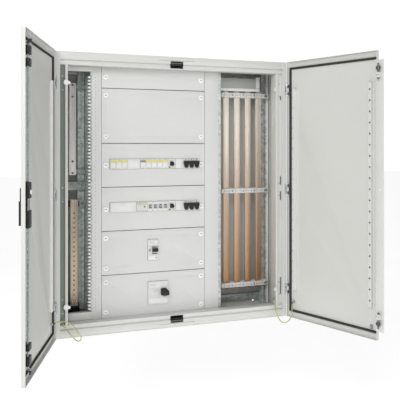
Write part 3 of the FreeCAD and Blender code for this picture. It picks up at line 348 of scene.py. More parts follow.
class Builder:
    """Collects closed shapes, each with one material, and makes one piece of them."""

    def __init__(self, placed=Matrix.Identity(4)):
        self.mesh = bmesh.new()
        self.materials = []
        self.placed = placed

    def take(self, part, material):
        """Adds a finished bmesh, in millimetres, with one material."""
        if material not in self.materials:
            self.materials.append(material)
        index = self.materials.index(material)
        for face in part.faces:
            face.material_index = index
        bmesh.ops.recalc_face_normals(part, faces=part.faces)
        loose = bpy.data.meshes.new("loose")
        part.to_mesh(loose)
        part.free()
        self.mesh.from_mesh(loose)
        bpy.data.meshes.remove(loose)

    def block(self, material, low, high, bevel=0.5):
        """A box with rounded edges."""
        part = bmesh.new()
        bmesh.ops.create_cube(part, size=1.0)
        for vertex in part.verts:
            for axis in range(3):
                vertex.co[axis] = (high if vertex.co[axis] > 0 else low)[axis]
        if bevel > 0:
            room = min(abs(high[axis] - low[axis]) for axis in range(3)) * 0.45
            rounded(part, list(part.edges), min(bevel, room))
        self.take(part, material)

    def prism(self, material, outline, low, high, bevel):
        """An outline of (x, z) points from y low to y high, with rounded edges."""
        part = bmesh.new()
        face = part.faces.new([part.verts.new((x, low, z)) for x, z in outline])
        extruded(part, [face], Vector((0, high - low, 0)))
        bmesh.ops.recalc_face_normals(part, faces=part.faces)
        rounded(part, list(part.edges), bevel)
        self.take(part, material)

    def lathe(self, material, centre, axis, profile, sides=28):
        """A turned shape: profile is (radius, height) pairs along axis from centre."""
        part = bmesh.new()
        direction = Vector(axis).normalized()
        across = direction.orthogonal().normalized()
        beside = direction.cross(across)
        origin = Vector(centre)
        rings = []
        for radius, height in profile:
            if radius < 1e-6:
                rings.append([part.verts.new(origin + direction * height)])
                continue
            ring = []
            for side in range(sides):
                angle = 2 * math.pi * side / sides
                spoke = across * math.cos(angle) + beside * math.sin(angle)
                ring.append(part.verts.new(origin + direction * height + spoke * radius))
            rings.append(ring)
        for lower, upper in zip(rings, rings[1:]):
            for side in range(sides):
                after = (side + 1) % sides
                corners = [lower[side % len(lower)], lower[after % len(lower)]]
                corners += [upper[after % len(upper)], upper[side % len(upper)]]
                corners = list(dict.fromkeys(corners))
                if len(corners) > 2:
                    part.faces.new(corners)
        for ring in (rings[0], rings[-1]):
            if len(ring) > 1:
                part.faces.new(ring)
        self.take(part, material)

    def hexagon(self, material, centre, axis, across_flats, height):
        """A hexagon head or nut with a chamfered rim and a domed middle."""
        radius = across_flats / math.sqrt(3)
        profile = [
            (radius, 0.0),
            (radius, height * 0.75),
            (radius * 0.86, height),
            (radius * 0.4, height),
            (0.0, height * 1.02),
        ]
        self.lathe(material, centre, axis, profile, 6)

    def punched(self, material, frame_of, u_lines, v_lines, thickness, hole):
        """A sheet over a grid of cells; hole(column, row) gives None or a hole's half sizes.
        frame_of is (origin, u direction, v direction, thickness direction)."""
        part = bmesh.new()
        origin, u_way, v_way, depth_way = (Vector(item) for item in frame_of)
        known = {}

        def corner(u, v):
            key = (round(u, 4), round(v, 4))
            if key not in known:
                known[key] = part.verts.new(origin + u_way * u + v_way * v)
            return known[key]

        def rim(u0, u1, v0, v1):
            ends = [(u0, v0), (u1, v0), (u1, v1), (u0, v1), (u0, v0)]
            for (u, v), (next_u, next_v) in zip(ends, ends[1:]):
                for k in range(4):
                    yield u + (next_u - u) * k / 4, v + (next_v - v) * k / 4

        for column, (u0, u1) in enumerate(zip(u_lines, u_lines[1:])):
            for row, (v0, v1) in enumerate(zip(v_lines, v_lines[1:])):
                outer = [corner(u, v) for u, v in rim(u0, u1, v0, v1)]
                size = hole(column, row)
                if size is None:
                    part.faces.new(outer)
                    continue
                half_u, half_v, power = size
                middle_u = (u0 + u1) / 2
                middle_v = (v0 + v1) / 2
                inner = []
                for step in range(16):
                    angle = math.radians(225.0 + 22.5 * step)
                    c = math.cos(angle)
                    s = math.sin(angle)
                    reach = (abs(c) ** power + abs(s) ** power) ** (-1 / power)
                    inner.append(corner(middle_u + half_u * reach * c, middle_v + half_v * reach * s))
                for step in range(16):
                    after = (step + 1) % 16
                    part.faces.new([outer[step], outer[after], inner[after], inner[step]])
        extruded(part, list(part.faces), depth_way * thickness)
        self.take(part, material)

    def sweep(self, material, path, outline):
        """A flat outline carried along an open path with mitred corners.
        outline holds (across, up) pairs; across lies in the path's plane, up is +Y."""
        part = bmesh.new()
        up = Vector(TO_BACK)
        places = [Vector(place) for place in path]
        ways = [(after - here).normalized() for here, after in zip(places, places[1:])]
        rings = []
        for here, way_in, way_out in zip(places, ways[:1] + ways, ways + ways[-1:]):
            side = up.cross(way_in + way_out).normalized()
            mitre = 1.0 / side.dot(up.cross(way_out))
            rings.append([part.verts.new(here + side * a * mitre + up * b) for a, b in outline])
        for first, second in zip(rings, rings[1:]):
            for index in range(len(outline)):
                after = (index + 1) % len(outline)
                part.faces.new([first[index], first[after], second[after], second[index]])
        part.faces.new(rings[0])
        part.faces.new(rings[-1])
        self.take(part, material)

    def piece(self, name, body, replaces=()):
        """Makes the object, in metres, riding on body."""
        bmesh.ops.transform(self.mesh, matrix=self.placed, verts=self.mesh.verts)
        bmesh.ops.transform(self.mesh, matrix=Matrix.Scale(MM, 4), verts=self.mesh.verts)
        made = added(name, finished_mesh(name, self.mesh, self.materials, 38.0))
        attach(made, body)
        if replaces:
            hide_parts(*replaces)


def dressed(node, body, material, bevel):
    """A CAD node's own shape with rounded edges, as a piece that stands for it."""
    name = node + "_finished"
    shape = bmesh.new()
    shape.from_mesh(NODES[node].data)
    bmesh.ops.remove_doubles(shape, verts=shape.verts, dist=1e-6)
    bmesh.ops.dissolve_limit(
        shape, angle_limit=math.radians(0.5), verts=shape.verts, edges=shape.edges
    )
    sharp = [
        edge
        for edge in shape.edges
        if len(edge.link_faces) == 2 and edge.calc_face_angle(0.0) > math.radians(40.0)
    ]
    if sharp:
        rounded(shape, sharp, bevel * MM, clamped=True)
    made = added(name, finished_mesh(name, shape, [material], 32.0))
    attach(made, body)
    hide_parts(node)


def open_door(joint_name, closing):
    """The matrix that carries a closed door's geometry, in millimetres, to its rest place."""
    joint = JOINTS[joint_name]
    pivot = Vector(joint["pos_m"]) / MM
    turn = Matrix.Rotation(-math.radians(joint["range_deg"][closing]), 4, "Z")
    return Matrix.Translation(pivot) @ turn @ Matrix.Translation(-pivot)


LEFT_OPEN = open_door("left_door_hinge", 1)
RIGHT_OPEN = open_door("right_door_hinge", 0)

# ---- earth leads
LEAD_DIAMETER = 0.005
LEFT_LEAD_ROUTE = [
    (-0.5355, -0.2490, -0.5530),
    (-0.5340, -0.2560, -0.5585),
    (-0.5295, -0.2620, -0.5675),
    (-0.5205, -0.2660, -0.5795),
    (-0.5105, -0.2685, -0.5925),
    (-0.4995, -0.2710, -0.6055),
    (-0.4885, -0.2745, -0.6185),
    (-0.4790, -0.2815, -0.6310),
    (-0.4655, -0.2920, -0.6305),
    (-0.4595, -0.3030, -0.6170),
    (-0.4690, -0.3070, -0.5980),
    (-0.4810, -0.3085, -0.5780),
    (-0.4940, -0.3110, -0.5600),
    (-0.5100, -0.3130, -0.5460),
    (-0.5265, -0.3145, -0.5365),
    (-0.5450, -0.3157, -0.5315),
    (-0.5635, -0.3160, -0.5330),
    (-0.5815, -0.3145, -0.5410),
]
RIGHT_LEAD_ROUTE = [
    (0.5015, -0.2390, -0.5350),
    (0.4990, -0.2445, -0.5430),
    (0.4985, -0.2510, -0.5560),
    (0.4985, -0.2580, -0.5745),
    (0.4995, -0.2660, -0.5970),
    (0.5040, -0.2740, -0.6200),
    (0.5145, -0.2820, -0.6390),
    (0.5315, -0.2890, -0.6485),
    (0.5485, -0.2950, -0.6415),
    (0.5600, -0.2995, -0.6255),
    (0.5640, -0.3025, -0.6055),
    (0.5655, -0.3030, -0.5850),
    (0.5675, -0.3005, -0.5650),
    (0.5720, -0.2960, -0.5470),
]


def smooth_line(route):
    """Points along the route's NURBS spline."""
    data = bpy.data.curves.new("route", "CURVE")
    data.dimensions = "3D"
    data.resolution_u = 10
    spline = data.splines.new("NURBS")
    spline.points.add(len(route) - 1)
    for target, place in zip(spline.points, route):
        target.co = (*place, 1.0)
    spline.order_u = 3
    spline.use_endpoint_u = True
    holder = added("route", data)
    bpy.context.view_layer.update()
    line = bpy.data.meshes.new_from_object(holder)
    places = [vertex.co.copy() for vertex in line.vertices]
    bpy.data.objects.remove(holder)
    bpy.data.meshes.remove(line)
    return places


LEAD_SIDES = 12
LEAD_TWIST = 0.10


def lead_mesh(name, places, radius):
    """A striped tube: the green stripes wind slowly round the yellow sheath."""
    shape = bmesh.new()
    across = (places[1] - places[0]).orthogonal().normalized()
    rings = []
    for index, place in enumerate(places):
        before = places[max(index - 1, 0)]
        after = places[min(index + 1, len(places) - 1)]
        way = (after - before).normalized()
        across = (across - way * across.dot(way)).normalized()
        beside = way.cross(across)
        ring = []
        for side in range(LEAD_SIDES):
            angle = 2 * math.pi * side / LEAD_SIDES + LEAD_TWIST * index
            spoke = across * math.cos(angle) + beside * math.sin(angle)
            ring.append(shape.verts.new(place + spoke * radius))
        rings.append(ring)
    for first, second in zip(rings, rings[1:]):
        for side in range(LEAD_SIDES):
            after = (side + 1) % LEAD_SIDES
            face = shape.faces.new([first[side], first[after], second[after], second[side]])
            face.material_index = 1 if side % 6 < 2 else 0
            face.smooth = True
    shape.faces.new(list(reversed(rings[0])))
    shape.faces.new(rings[-1])
    bmesh.ops.recalc_face_normals(shape, faces=shape.faces)
    mesh = bpy.data.meshes.new(name)
    shape.to_mesh(mesh)
    shape.free()
    mesh.materials.append(LEAD_YELLOW)
    mesh.materials.append(LEAD_GREEN)
    return added(name, mesh)


def earth_lead(node, route):
    """A lead from the body to a door, laid along its route with the door open."""
    places = smooth_line(route)
    lead = lead_mesh(node + "_cable", places, LEAD_DIAMETER / 2)
    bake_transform(lead)
    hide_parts(node)


earth_lead("left_earth_lead", LEFT_LEAD_ROUTE)
earth_lead("right_earth_lead", RIGHT_LEAD_ROUTE)

# ---- finished CAD nodes
def dressed_all(nodes, body, material, bevel):
    """Nodes dressed alike; with no body given, each rides the body of its own name."""
    for node in nodes:
        dressed(node, body or node, material, bevel)


SHELL = ("left_side_panel", "right_side_panel", "roof_panel", "floor_panel", "back_panel")
COVERS = (
    "cover_top_blank",
    "cover_upper_blank",
    "cover_upper_row",
    "cover_lower_row",
    "cover_toggle_breaker",
    "cover_rotary_breaker",
)
MODULES = ("residual_current_devices", "circuit_breakers", "fuse_switch_bodies")
BREAKER_TOGGLES = ["breaker_toggle_%d" % number for number in range(1, 5)]

dressed_all(SHELL, "cabinet", PAINT, 0.6)
dressed_all(("gland_plate", "rear_cross_rails"), "cabinet", ZINC, 0.4)
dressed("device_mounting_rails", "cabinet", ZINC, 0.3)
dressed("cover_frame_profiles", "cabinet", WHITE_PAINT, 0.5)
dressed_all(COVERS, "cabinet", INSIDE_PAINT, 0.7)
dressed("rod_catches", "cabinet", BLACK_PLASTIC, 0.5)
dressed("fixed_hinge_leaves", "cabinet", STEEL, 0.4)
for side in ("left", "right"):
    dressed(side + "_door_panel", side + "_door", PAINT, 0.6)
for side in ("left", "right"):
    dressed(side + "_door_hinge_leaves", side + "_door", STEEL, 0.3)
LOCK_NODES = ("lock_case", "handle_escutcheon", "rod_guides")
dressed_all(LOCK_NODES, "left_door", BLACK_PLASTIC, 0.8)
dressed("door_handle", "door_handle", BLACK_PLASTIC, 0.9)
dressed_all(("upper_rod", "lower_rod"), None, ROD_STEEL, 0.6)
dressed("bolt_guides", "right_door", PAINT, 0.8)
dressed_all(("upper_bolt", "lower_bolt"), None, DARK_STEEL, 0.3)
dressed("busbars", "cabinet", COPPER, 0.5)
dressed("busbar_supports", "cabinet", DEVICE_GREY, 0.8)
dressed("earth_bar", "cabinet", TINNED, 0.6)
dressed("neutral_bar", "cabinet", TINNED_COPPERY_BELOW, 0.6)
dressed("bar_insulators", "cabinet", BLACK_PLASTIC, 0.8)
dressed("fuse_pole_modules", "cabinet", DEVICE_GREY, 0.6)
dressed("blanking_strips", "cabinet", PALE_PLASTIC, 0.5)
dressed_all(MODULES, "cabinet", DEVICE_GREY, 0.6)
dressed("toggle_breaker_body", "cabinet", BREAKER_GREY, 0.8)
dressed("rotary_breaker_body", "cabinet", BREAKER_GREY, 0.8)
dressed("toggle_breaker_toggle", "toggle_breaker_toggle", BREAKER_GREY, 0.8)
dressed_all(("rcd_toggle_upper", "rcd_toggle_lower"), None, BLACK_PLASTIC, 0.8)
dressed_all(BREAKER_TOGGLES, None, TOGGLE_GREY, 0.6)


# ---- perforated uprights
ROWS = 77
UPRIGHT_HALF_H = 600.0
PITCH = 2 * UPRIGHT_HALF_H / ROWS
REAR_Y = -40.0
SHORT_FRONT_Y = -62.0
SQUARE_HOLE = (4.6, 4.6, 7.0)
ROUND_HOLE = (3.6, 3.6, 2.0)
UPRIGHT_LINES = [-UPRIGHT_HALF_H + PITCH * step for step in range(ROWS + 1)]
UPRIGHTS = (  # web x, flange x, front y
    (-558.0, -521.0, SHORT_FRONT_Y),
    (-430.0, -399.0, -52.0),
    (-397.0, -367.0, -185.0),
    (240.0, 212.0, -185.0),
    (557.0, 519.0, SHORT_FRONT_Y),
)
TABS = 68
TAB_PITCH = 15.6
TAB_FIRST_Z = -522.6
TAB_FOOT_X = -396.8


def perforated_upright(builder, web_x, flange_x, front_y):
    """A C-section; its web has holes when deep, its flange one row, round when narrow."""
    side = 1.0 if flange_x > web_x else -1.0
    depth = REAR_Y - front_y
    deep = depth > 100
    web_lines = [0.0] + [36.0 + PITCH * step for step in range(6)] + [depth] if deep else [0.0, depth]
    web_holes = {1: SQUARE_HOLE, 2: ROUND_HOLE, 3: SQUARE_HOLE, 5: ROUND_HOLE} if deep else {}
    width = abs(flange_x - web_x) - 2.2
    builder.punched(
        UPRIGHT_ZINC_PAINTED_LIGHT,
        ((web_x, front_y, 0), (0, 1, 0), (0, 0, 1), (side, 0, 0)),
        web_lines,
        UPRIGHT_LINES,
        2.0,
        lambda column, row: web_holes.get(column),
    )
    builder.punched(
        UPRIGHT_ZINC_PAINTED_LIGHT,
        ((web_x + side * 2.2, front_y, 0), (side, 0, 0), (0, 0, 1), (0, 1, 0)),
        [0.0, width],
        UPRIGHT_LINES,
        2.0,
        lambda column, row: ROUND_HOLE if width < 32 else SQUARE_HOLE,
    )
    low = (min(web_x, flange_x), REAR_Y - 2.0, -UPRIGHT_HALF_H)
    high = (max(web_x, flange_x), REAR_Y, UPRIGHT_HALF_H)
    builder.block(UPRIGHT_ZINC_PAINTED_LIGHT, low, high, 0.4)


def web_tab(builder, material, x, y, z):
    """A small tab beside the left column: from x to the web, between two y and two z."""
    builder.block(material, (x, y[0], z[0]), (TAB_FOOT_X, y[1], z[1]), 0.3)


uprights = Builder()
COLUMN_DOT = [(1.7, 0.0), (1.7, 0.3), (0.0, 0.3)]
for step in range(TABS):
    tab_z = TAB_FIRST_Z + TAB_PITCH * step
    web_tab(uprights, WHITE_PLASTIC, -406.0, (-184.0, -164.0), (tab_z - 3.8, tab_z + 3.8))
    web_tab(uprights, UPRIGHT_ZINC_PAINTED_LIGHT, -403.0, (-148.0, -136.0), (tab_z + 4.4, tab_z + 9.0))
    web_tab(uprights, UPRIGHT_ZINC_PAINTED_LIGHT, -401.0, (-112.0, -100.0), (tab_z - 2.0, tab_z + 2.6))
    # Grey dots on the left column's profile: painted shade for its row of holes.
    uprights.lathe(LINE_GREY, (-375.0, COVER_FACE_Y, tab_z), TO_FRONT, COLUMN_DOT, 12)
for web_x, flange_x, front_y in UPRIGHTS:
    perforated_upright(uprights, web_x, flange_x, front_y)
channel_low = (549.5, SHORT_FRONT_Y - 2.2, -UPRIGHT_HALF_H)
uprights.block(WHITE_PLASTIC, channel_low, (557.0, SHORT_FRONT_Y, UPRIGHT_HALF_H), 0.3)
uprights.piece("uprights_finished", "cabinet", ["perforated_uprights"])


# ---- door gaskets
GASKET_HALF_H = 592.4
BEAD_RIGHT = [(4.3, 0.1), (4.3, 3.0), (3.2, 6.4), (1.2, 8.4)]
GASKET_BEAD = [(-4.3, 0.1)] + BEAD_RIGHT + [(-across, up) for across, up in BEAD_RIGHT[:0:-1]]


def gasket_bead(name, body, opened, free_x, hinge_x, size):
    """The foamed bead along the top, the hinge side and the bottom of a door."""
    bead = Builder(opened)
    corners = ((free_x, 1), (hinge_x, 1), (hinge_x, -1), (free_x, -1))
    path = [(x, DOOR_INSIDE_Y, end * GASKET_HALF_H) for x, end in corners]
    bead.sweep(FOAM, path, [(across * size, up * size) for across, up in GASKET_BEAD])
    bead.piece(name + "_bead", body, [name])


gasket_bead("left_door_gasket", "left_door", LEFT_OPEN, -4.2, -544.0, 1.0)
gasket_bead("right_door_gasket", "right_door", RIGHT_OPEN, 32.7, 544.5, 1.25)


# ---- door rails
RAIL_HALF_H = 490.0
RAIL_PITCH = 50.0
RAIL_END = 6.0
SMALL_RAIL_HOLE = (3.4, 3.4, 2.0)
RAIL_HOLE = (4.2, 4.2, 2.0)
RAIL_DOT = [(4.4, 0.0), (4.4, 0.25), (0.0, 0.25)]


def punched_rail(builder, x0, x1, holes, hole, paint):
    """A hat-shaped door rail, 10 mm deep, with a row of round holes up to 50 mm apart."""
    pitch = min(RAIL_PITCH, 2 * (RAIL_HALF_H - RAIL_END) / holes)
    places = [RAIL_HALF_H + pitch * (step - holes / 2) for step in range(holes + 1)]
    lines = [0.0] + places + [2 * RAIL_HALF_H]
    last = len(lines) - 2
    builder.punched(
        paint,
        ((x0, DOOR_INSIDE_Y + 8.5, -RAIL_HALF_H), (1, 0, 0), (0, 0, 1), (0, 1, 0)),
        [0.0, x1 - x0],
        lines,
        1.5,
        lambda column, row: None if row in (0, last) else hole,
    )
    for low_x in (x0, x1 - 1.5):
        foot = (low_x, DOOR_INSIDE_Y, -RAIL_HALF_H)
        builder.block(paint, foot, (low_x + 1.5, DOOR_INSIDE_Y + 9.0, RAIL_HALF_H), 0.3)
    # A dark grey strip under the rail: painted shade seen through its holes.
    inside = RAIL_HALF_H - 1.0
    builder.block(DARK_GREY_AND_SHADE, (x0 + 2.0, -266.9, -inside), (x1 - 2.0, -266.0, inside), 0.2)


rail = Builder(LEFT_OPEN)
punched_rail(rail, -521.5, -500.5, 19, SMALL_RAIL_HOLE, WHITE_PLASTIC)
rail.piece("left_rail_finished", "left_door", ["left_door_rail"])
rails = Builder(RIGHT_OPEN)
punched_rail(rails, 503.5, 524.5, 19, None, RAIL_PAINT)
rails.block(RAIL_PAINT, (524.2, -266.9, -486.0), (537.5, -265.9, 486.0), 0.2)
# Dark grey dots on the flat strip: painted shade for its row of small holes.
for step in range(19):
    rails.lathe(DARK_GREY_AND_SHADE, (531.0, -266.0, RAIL_PITCH * (step - 9)), TO_BACK, RAIL_DOT, 16)
punched_rail(rails, 58.5, 76.5, 20, RAIL_HOLE, PAINT)
rails.block(PAINT, (51.5, -266.9, -RAIL_HALF_H), (58.8, -265.6, RAIL_HALF_H), 0.2)
rails.piece("right_rails_finished", "right_door", ["right_door_rails"])


# ---- cover fasteners
FASTENER_COLUMNS = (-328.0, 135.0)
FASTENER_LEVELS = (525.0, 443.0, 257.0, 125.0, -75.0, -207.0, -343.0, -407.0, -543.0)
FASTENER_PROFILE = [(11.4, -0.2), (12.0, 0.5), (12.0, 2.6), (11.0, 3.6), (8.0, 4.0), (0.0, 4.0)]
SLOT_OUTLINE = [(-5.5, -1.2), (5.5, -1.2), (5.5, 1.2), (-5.5, 1.2)]
LIP_KNOB_LEVELS = (-490.0, 490.0)
SMALL_KNOB = [(6.5, 0.0), (7.0, 1.0), (7.0, 2.6), (5.6, 3.8), (0.0, 4.0)]


def cover_fastener(builder, x, z):
    """A round white head whose slot stands a little off level; the slot is a dark grey shape of
    painted shade on the head.
    """
    builder.lathe(WHITE_PLASTIC, (x, COVER_FACE_Y, z), TO_FRONT, FASTENER_PROFILE)
    tilt = random.uniform(-0.12, 0.12)
    c = math.cos(tilt)
    s = math.sin(tilt)
    turned = [(x + across * c - up * s, z + across * s + up * c) for across, up in SLOT_OUTLINE]
    builder.prism(DARK_GREY_AND_SHADE, turned, COVER_FACE_Y - 4.3, COVER_FACE_Y - 3.4, 0.15)


def lip_knob(builder, material, x, z, radius):
    """A round knob on the lip beside a door."""
    flank = [(radius - 0.5, 0.0), (radius, 1.0), (radius, 3.4), (radius - 1.4, 4.8), (0.0, 5.0)]
    builder.lathe(material, (x, LIP_Y, z), TO_FRONT, flank)


fasteners = Builder()
for place_x in FASTENER_COLUMNS:
    for place_z in FASTENER_LEVELS:
        cover_fastener(fasteners, place_x, place_z)
for knob_z in LIP_KNOB_LEVELS:
    lip_knob(fasteners, WHITE_PLASTIC, -516.0, knob_z, 12.0)
    fasteners.lathe(WHITE_PLASTIC, (-504.0, LIP_Y, knob_z - 1.5), TO_FRONT, SMALL_KNOB)
for knob_z in LIP_KNOB_LEVELS:
    lip_knob(fasteners, PAINT, 506.5, knob_z, 11.0)
fasteners.piece("fasteners_finished", "cabinet", ["cover_fasteners"])

# ---- device fronts
UPPER_Z = 130.0
LOWER_Z = -68.0
FACE_Y = -196.0
STRIP_Y = -194.0
POLE = 27.0
NARROW = 9
BREAKER = 25.0
SWITCH_LEFT = 42.0
RCD_LEFT = -32.0
RCD_RIGHT = 5.0
SCREW_WELL = [(1.6, 0.0), (1.6, 0.4), (0.0, 0.5)]
SWITCH_WELL = [(2.2, 0.0), (2.2, 0.5), (1.2, 0.6), (0.0, 0.3)]


def on_face(builder, material, x, z, out, into=0.4, bevel=0):
    """A thin block on the device fronts: x and z are (low, high), out and into its depths."""
    builder.block(material, (x[0], FACE_Y - out, z[0]), (x[1], FACE_Y + into, z[1]), bevel)


def seam(builder, x, z):
    """A narrow shadow line between two modules."""
    on_face(builder, LINE_GREY, (x - 0.5, x + 0.5), (z - 22.0, z + 22.0), 0.25, 0.6)


def module_face(builder, x0, width, z, label, label_z=(7.0, 17.5)):
    """A label strip, two screw wells painted dark grey as shade and a small window on one module's
    front.
    """
    x1 = x0 + width
    low, high = label_z
    on_face(builder, label, (x0 + 1.6, x1 - 1.6), (z + low, z + high), 0.5, 0.4, 0.2)
    for level in (-19.4, 19.4):
        centre = ((x0 + x1) / 2, FACE_Y + 0.2, z + level)
        builder.lathe(DARK_GREY_AND_SHADE, centre, TO_FRONT, SCREW_WELL, 14)
    on_face(builder, PALE_PLASTIC, (x0 + 2.4, x1 - 2.4), (z - 12.0, z + 5.0), 1.0, 0.4, 0.5)


faces = Builder()
for pole in range(3):
    left = -308.0 + POLE * pole
    module_face(faces, left, POLE, UPPER_Z, YELLOW_LABEL)
    seam(faces, left + POLE, UPPER_Z)
for pole in range(5):
    left = -167.0 + POLE * pole
    module_face(faces, left, POLE, UPPER_Z, YELLOW_LABEL if pole else LINE_GREY)
    seam(faces, left, UPPER_Z)
for narrow in range(6):
    left = -186.0 + NARROW * narrow
    module_face(faces, left, NARROW, LOWER_Z, BEIGE_LABEL, (8.0, 16.0))
    seam(faces, left, LOWER_Z)
on_face(faces, DARK_GREY_AND_SHADE, (-150.0, -144.0), (LOWER_Z - 3.0, LOWER_Z + 3.0), 1.2, -0.2, 0.3)
faces.piece("pole_module_fronts", "cabinet")

# Slightly darker lines on the blanking strips: painted shade for their grooves.
strips = Builder()
for x0, x1, z in ((-227, -167, UPPER_Z), (5, 42, UPPER_Z), (-308, -186, LOWER_Z), (5, 42, LOWER_Z)):
    for x in range(x0 + NARROW, x1 - 3, NARROW):
        low = (x - 0.4, STRIP_Y - 0.25, z - 20.5)
        strips.block(BLANK_LINE, low, (x + 0.4, STRIP_Y + 0.4, z + 20.5), 0)
    for level in (z - 17.0, z + 17.0):
        low = (x0 + 2.0, STRIP_Y - 0.2, level - 0.4)
        strips.block(BLANK_LINE, low, (x1 - 2.0, STRIP_Y + 0.4, level + 0.4), 0)
strips.piece("blanking_strip_groove_shade", "cabinet")

fronts = Builder()
for z in (UPPER_Z, LOWER_Z):
    on_face(fronts, PALE_PLASTIC, (-29.5, 2.5), (z + 12.5, z + 20.5), 0.6, 0.4, 0.3)
    on_face(fronts, LINE_GREY, (-27.0, -8.0), (z + 16.0, z + 16.9), 0.8, -0.4)
    on_face(fronts, LINE_GREY, (-27.0, -14.0), (z + 13.9, z + 14.6), 0.8, -0.4)
    on_face(fronts, DARK_GREY_AND_SHADE, (-27.5, -20.5), (z - 19.5, z - 13.5), 1.4, 0.2, 0.5)
    on_face(fronts, BEIGE_LABEL, (-16.0, 1.0), (z - 19.0, z - 14.0), 0.5, 0.3, 0.2)
    seam(fronts, RCD_LEFT, z)
    seam(fronts, RCD_RIGHT, z)
fronts.piece("residual_current_fronts", "cabinet")

fronts = Builder()
for index in range(4):
    left = -132.0 + BREAKER * index
    z = LOWER_Z
    on_face(fronts, PALE_PLASTIC, (left + 2.0, left + 23.0), (z + 12.0, z + 20.0), 0.5, 0.4, 0.3)
    on_face(fronts, LINE_GREY, (left + 5.0, left + 17.0), (z + 15.6, z + 16.4), 0.7, -0.3)
    on_face(fronts, PALE_PLASTIC, (left + 4.0, left + 21.0), (z - 20.0, z - 13.0), 0.6, 0.4, 0.4)
    seam(fronts, left, z)
seam(fronts, RCD_LEFT - 0.4, LOWER_Z)
fronts.piece("circuit_breaker_fronts", "cabinet")

fronts = Builder()
for z in (UPPER_Z, LOWER_Z):
    for pole in range(3):
        left = SWITCH_LEFT + POLE * pole
        if pole:
            seam(fronts, left, z)
        on_face(fronts, PALE_PLASTIC, (left + 4.0, left + 23.0), (z - 20.5, z - 13.5), 0.5, 0.4, 0.4)
        # A switch well painted dark grey as shade.
        centre = (left + POLE / 2, FACE_Y + 0.1, z + 18.6)
        fronts.lathe(DARK_GREY_AND_SHADE, centre, TO_FRONT, SWITCH_WELL, 16)
    on_face(fronts, LINE_GREY, (44.0, 121.0), (z + 15.0, z + 15.7), 0.3)
fronts.piece("fuse_switch_fronts", "cabinet")

# ---- larger breakers
WINDOW_X = (-112.8, -81.2)
WINDOW_Z = (-292.0, -252.0)
WINDOW_RIM = 2.6
RIVET = [(3.0, 0.0), (3.0, 1.0), (0.0, 1.2)]

big = Builder()
for x in ((WINDOW_X[0], WINDOW_X[0] + WINDOW_RIM), (WINDOW_X[1] - WINDOW_RIM, WINDOW_X[1])):
    on_face(big, BLANK_LINE, x, WINDOW_Z, 0.9, 0.5, 0.3)
for z in ((WINDOW_Z[0], WINDOW_Z[0] + WINDOW_RIM), (WINDOW_Z[1] - WINDOW_RIM, WINDOW_Z[1])):
    on_face(big, BLANK_LINE, WINDOW_X, z, 0.9, 0.5, 0.3)
on_face(big, PALE_PLASTIC, (-126.5, -84.0), (-247.0, -228.0), 0.5, 0.4, 0.4)
on_face(big, LINE_GREY, (-122.0, -96.0), (-234.0, -232.8), 0.7, -0.3)
on_face(big, LINE_GREY, (-122.0, -104.0), (-238.0, -237.0), 0.7, -0.3)
on_face(big, LINE_GREY, (-126.0, -117.5), (-277.0, -264.0), 0.6, 0.3, 0.3)
on_face(big, PALE_PLASTIC, (-126.5, -83.5), (-315.0, -298.0), 0.4, 0.4, 0.4)
big.lathe(LINE_GREY, (-90.0, FACE_Y + 0.2, -306.0), TO_FRONT, RIVET, 18)
big.piece("toggle_breaker_front", "cabinet")
grip = Builder()
grip.block(BLACK_PLASTIC, (-109.4, -210.4, -278.5), (-84.6, -197.6, -262.1), 1.0)
grip.piece("toggle_breaker_grip", "toggle_breaker_toggle")

DIAL_RING = [(24.0, 0.0), (24.0, 0.7), (22.5, 1.0), (20.5, 1.0), (20.5, 0.0)]
FOOT_RIGHT = [(-46.0, -450.0), (-29.5, -466.0), (-31.0, -484.0)]
ROTARY_FOOT = [(-69.0, -451.0)] + FOOT_RIGHT + [(-53.0, -486.0), (-69.0, -482.0)]
GRIP_RIGHT = [(-50.0, -455.0), (-34.0, -469.0), (-36.0, -478.0)]
ROTARY_GRIP = [(-65.0, -456.0)] + GRIP_RIGHT + [(-49.0, -479.0), (-65.0, -470.0)]

rotary = Builder()
for material, x, z, out, into, bevel in (
    (BLANK_LINE, (-114.0, -77.0), (-487.0, -450.0), 0.9, 0.5, 0.6),
    (CLEAR_GREY, (-111.5, -79.5), (-484.5, -452.5), 1.6, -0.4, 0.6),
    (LINE_GREY, (-107.0, -86.0), (-461.0, -459.8), 1.8, -1.4, 0),
    (LINE_GREY, (-107.0, -92.0), (-467.0, -466.0), 1.8, -1.4, 0),
    (PALE_PLASTIC, (-125.0, -36.0), (-445.0, -424.0), 0.5, 0.4, 0.4),
    (LINE_GREY, (-120.0, -84.0), (-432.0, -430.8), 0.7, -0.3, 0),
    (LINE_GREY, (-120.0, -96.0), (-437.0, -436.0), 0.7, -0.3, 0),
    (PALE_PLASTIC, (-125.0, -36.0), (-519.0, -496.0), 0.4, 0.4, 0.4),
):
    on_face(rotary, material, x, z, out, into, bevel)
rotary.lathe(BLANK_LINE, (-50.0, FACE_Y + 0.1, -469.0), TO_FRONT, DIAL_RING, 48)
rotary.piece("rotary_breaker_front", "cabinet")
knob = Builder()
knob.prism(BLACK_PLASTIC, ROTARY_FOOT, -208.0, -197.0, 1.2)
knob.prism(BLACK_PLASTIC, ROTARY_GRIP, -225.5, -207.0, 1.2)
knob.piece("rotary_knob", "rotary_handle", ["rotary_handle"])

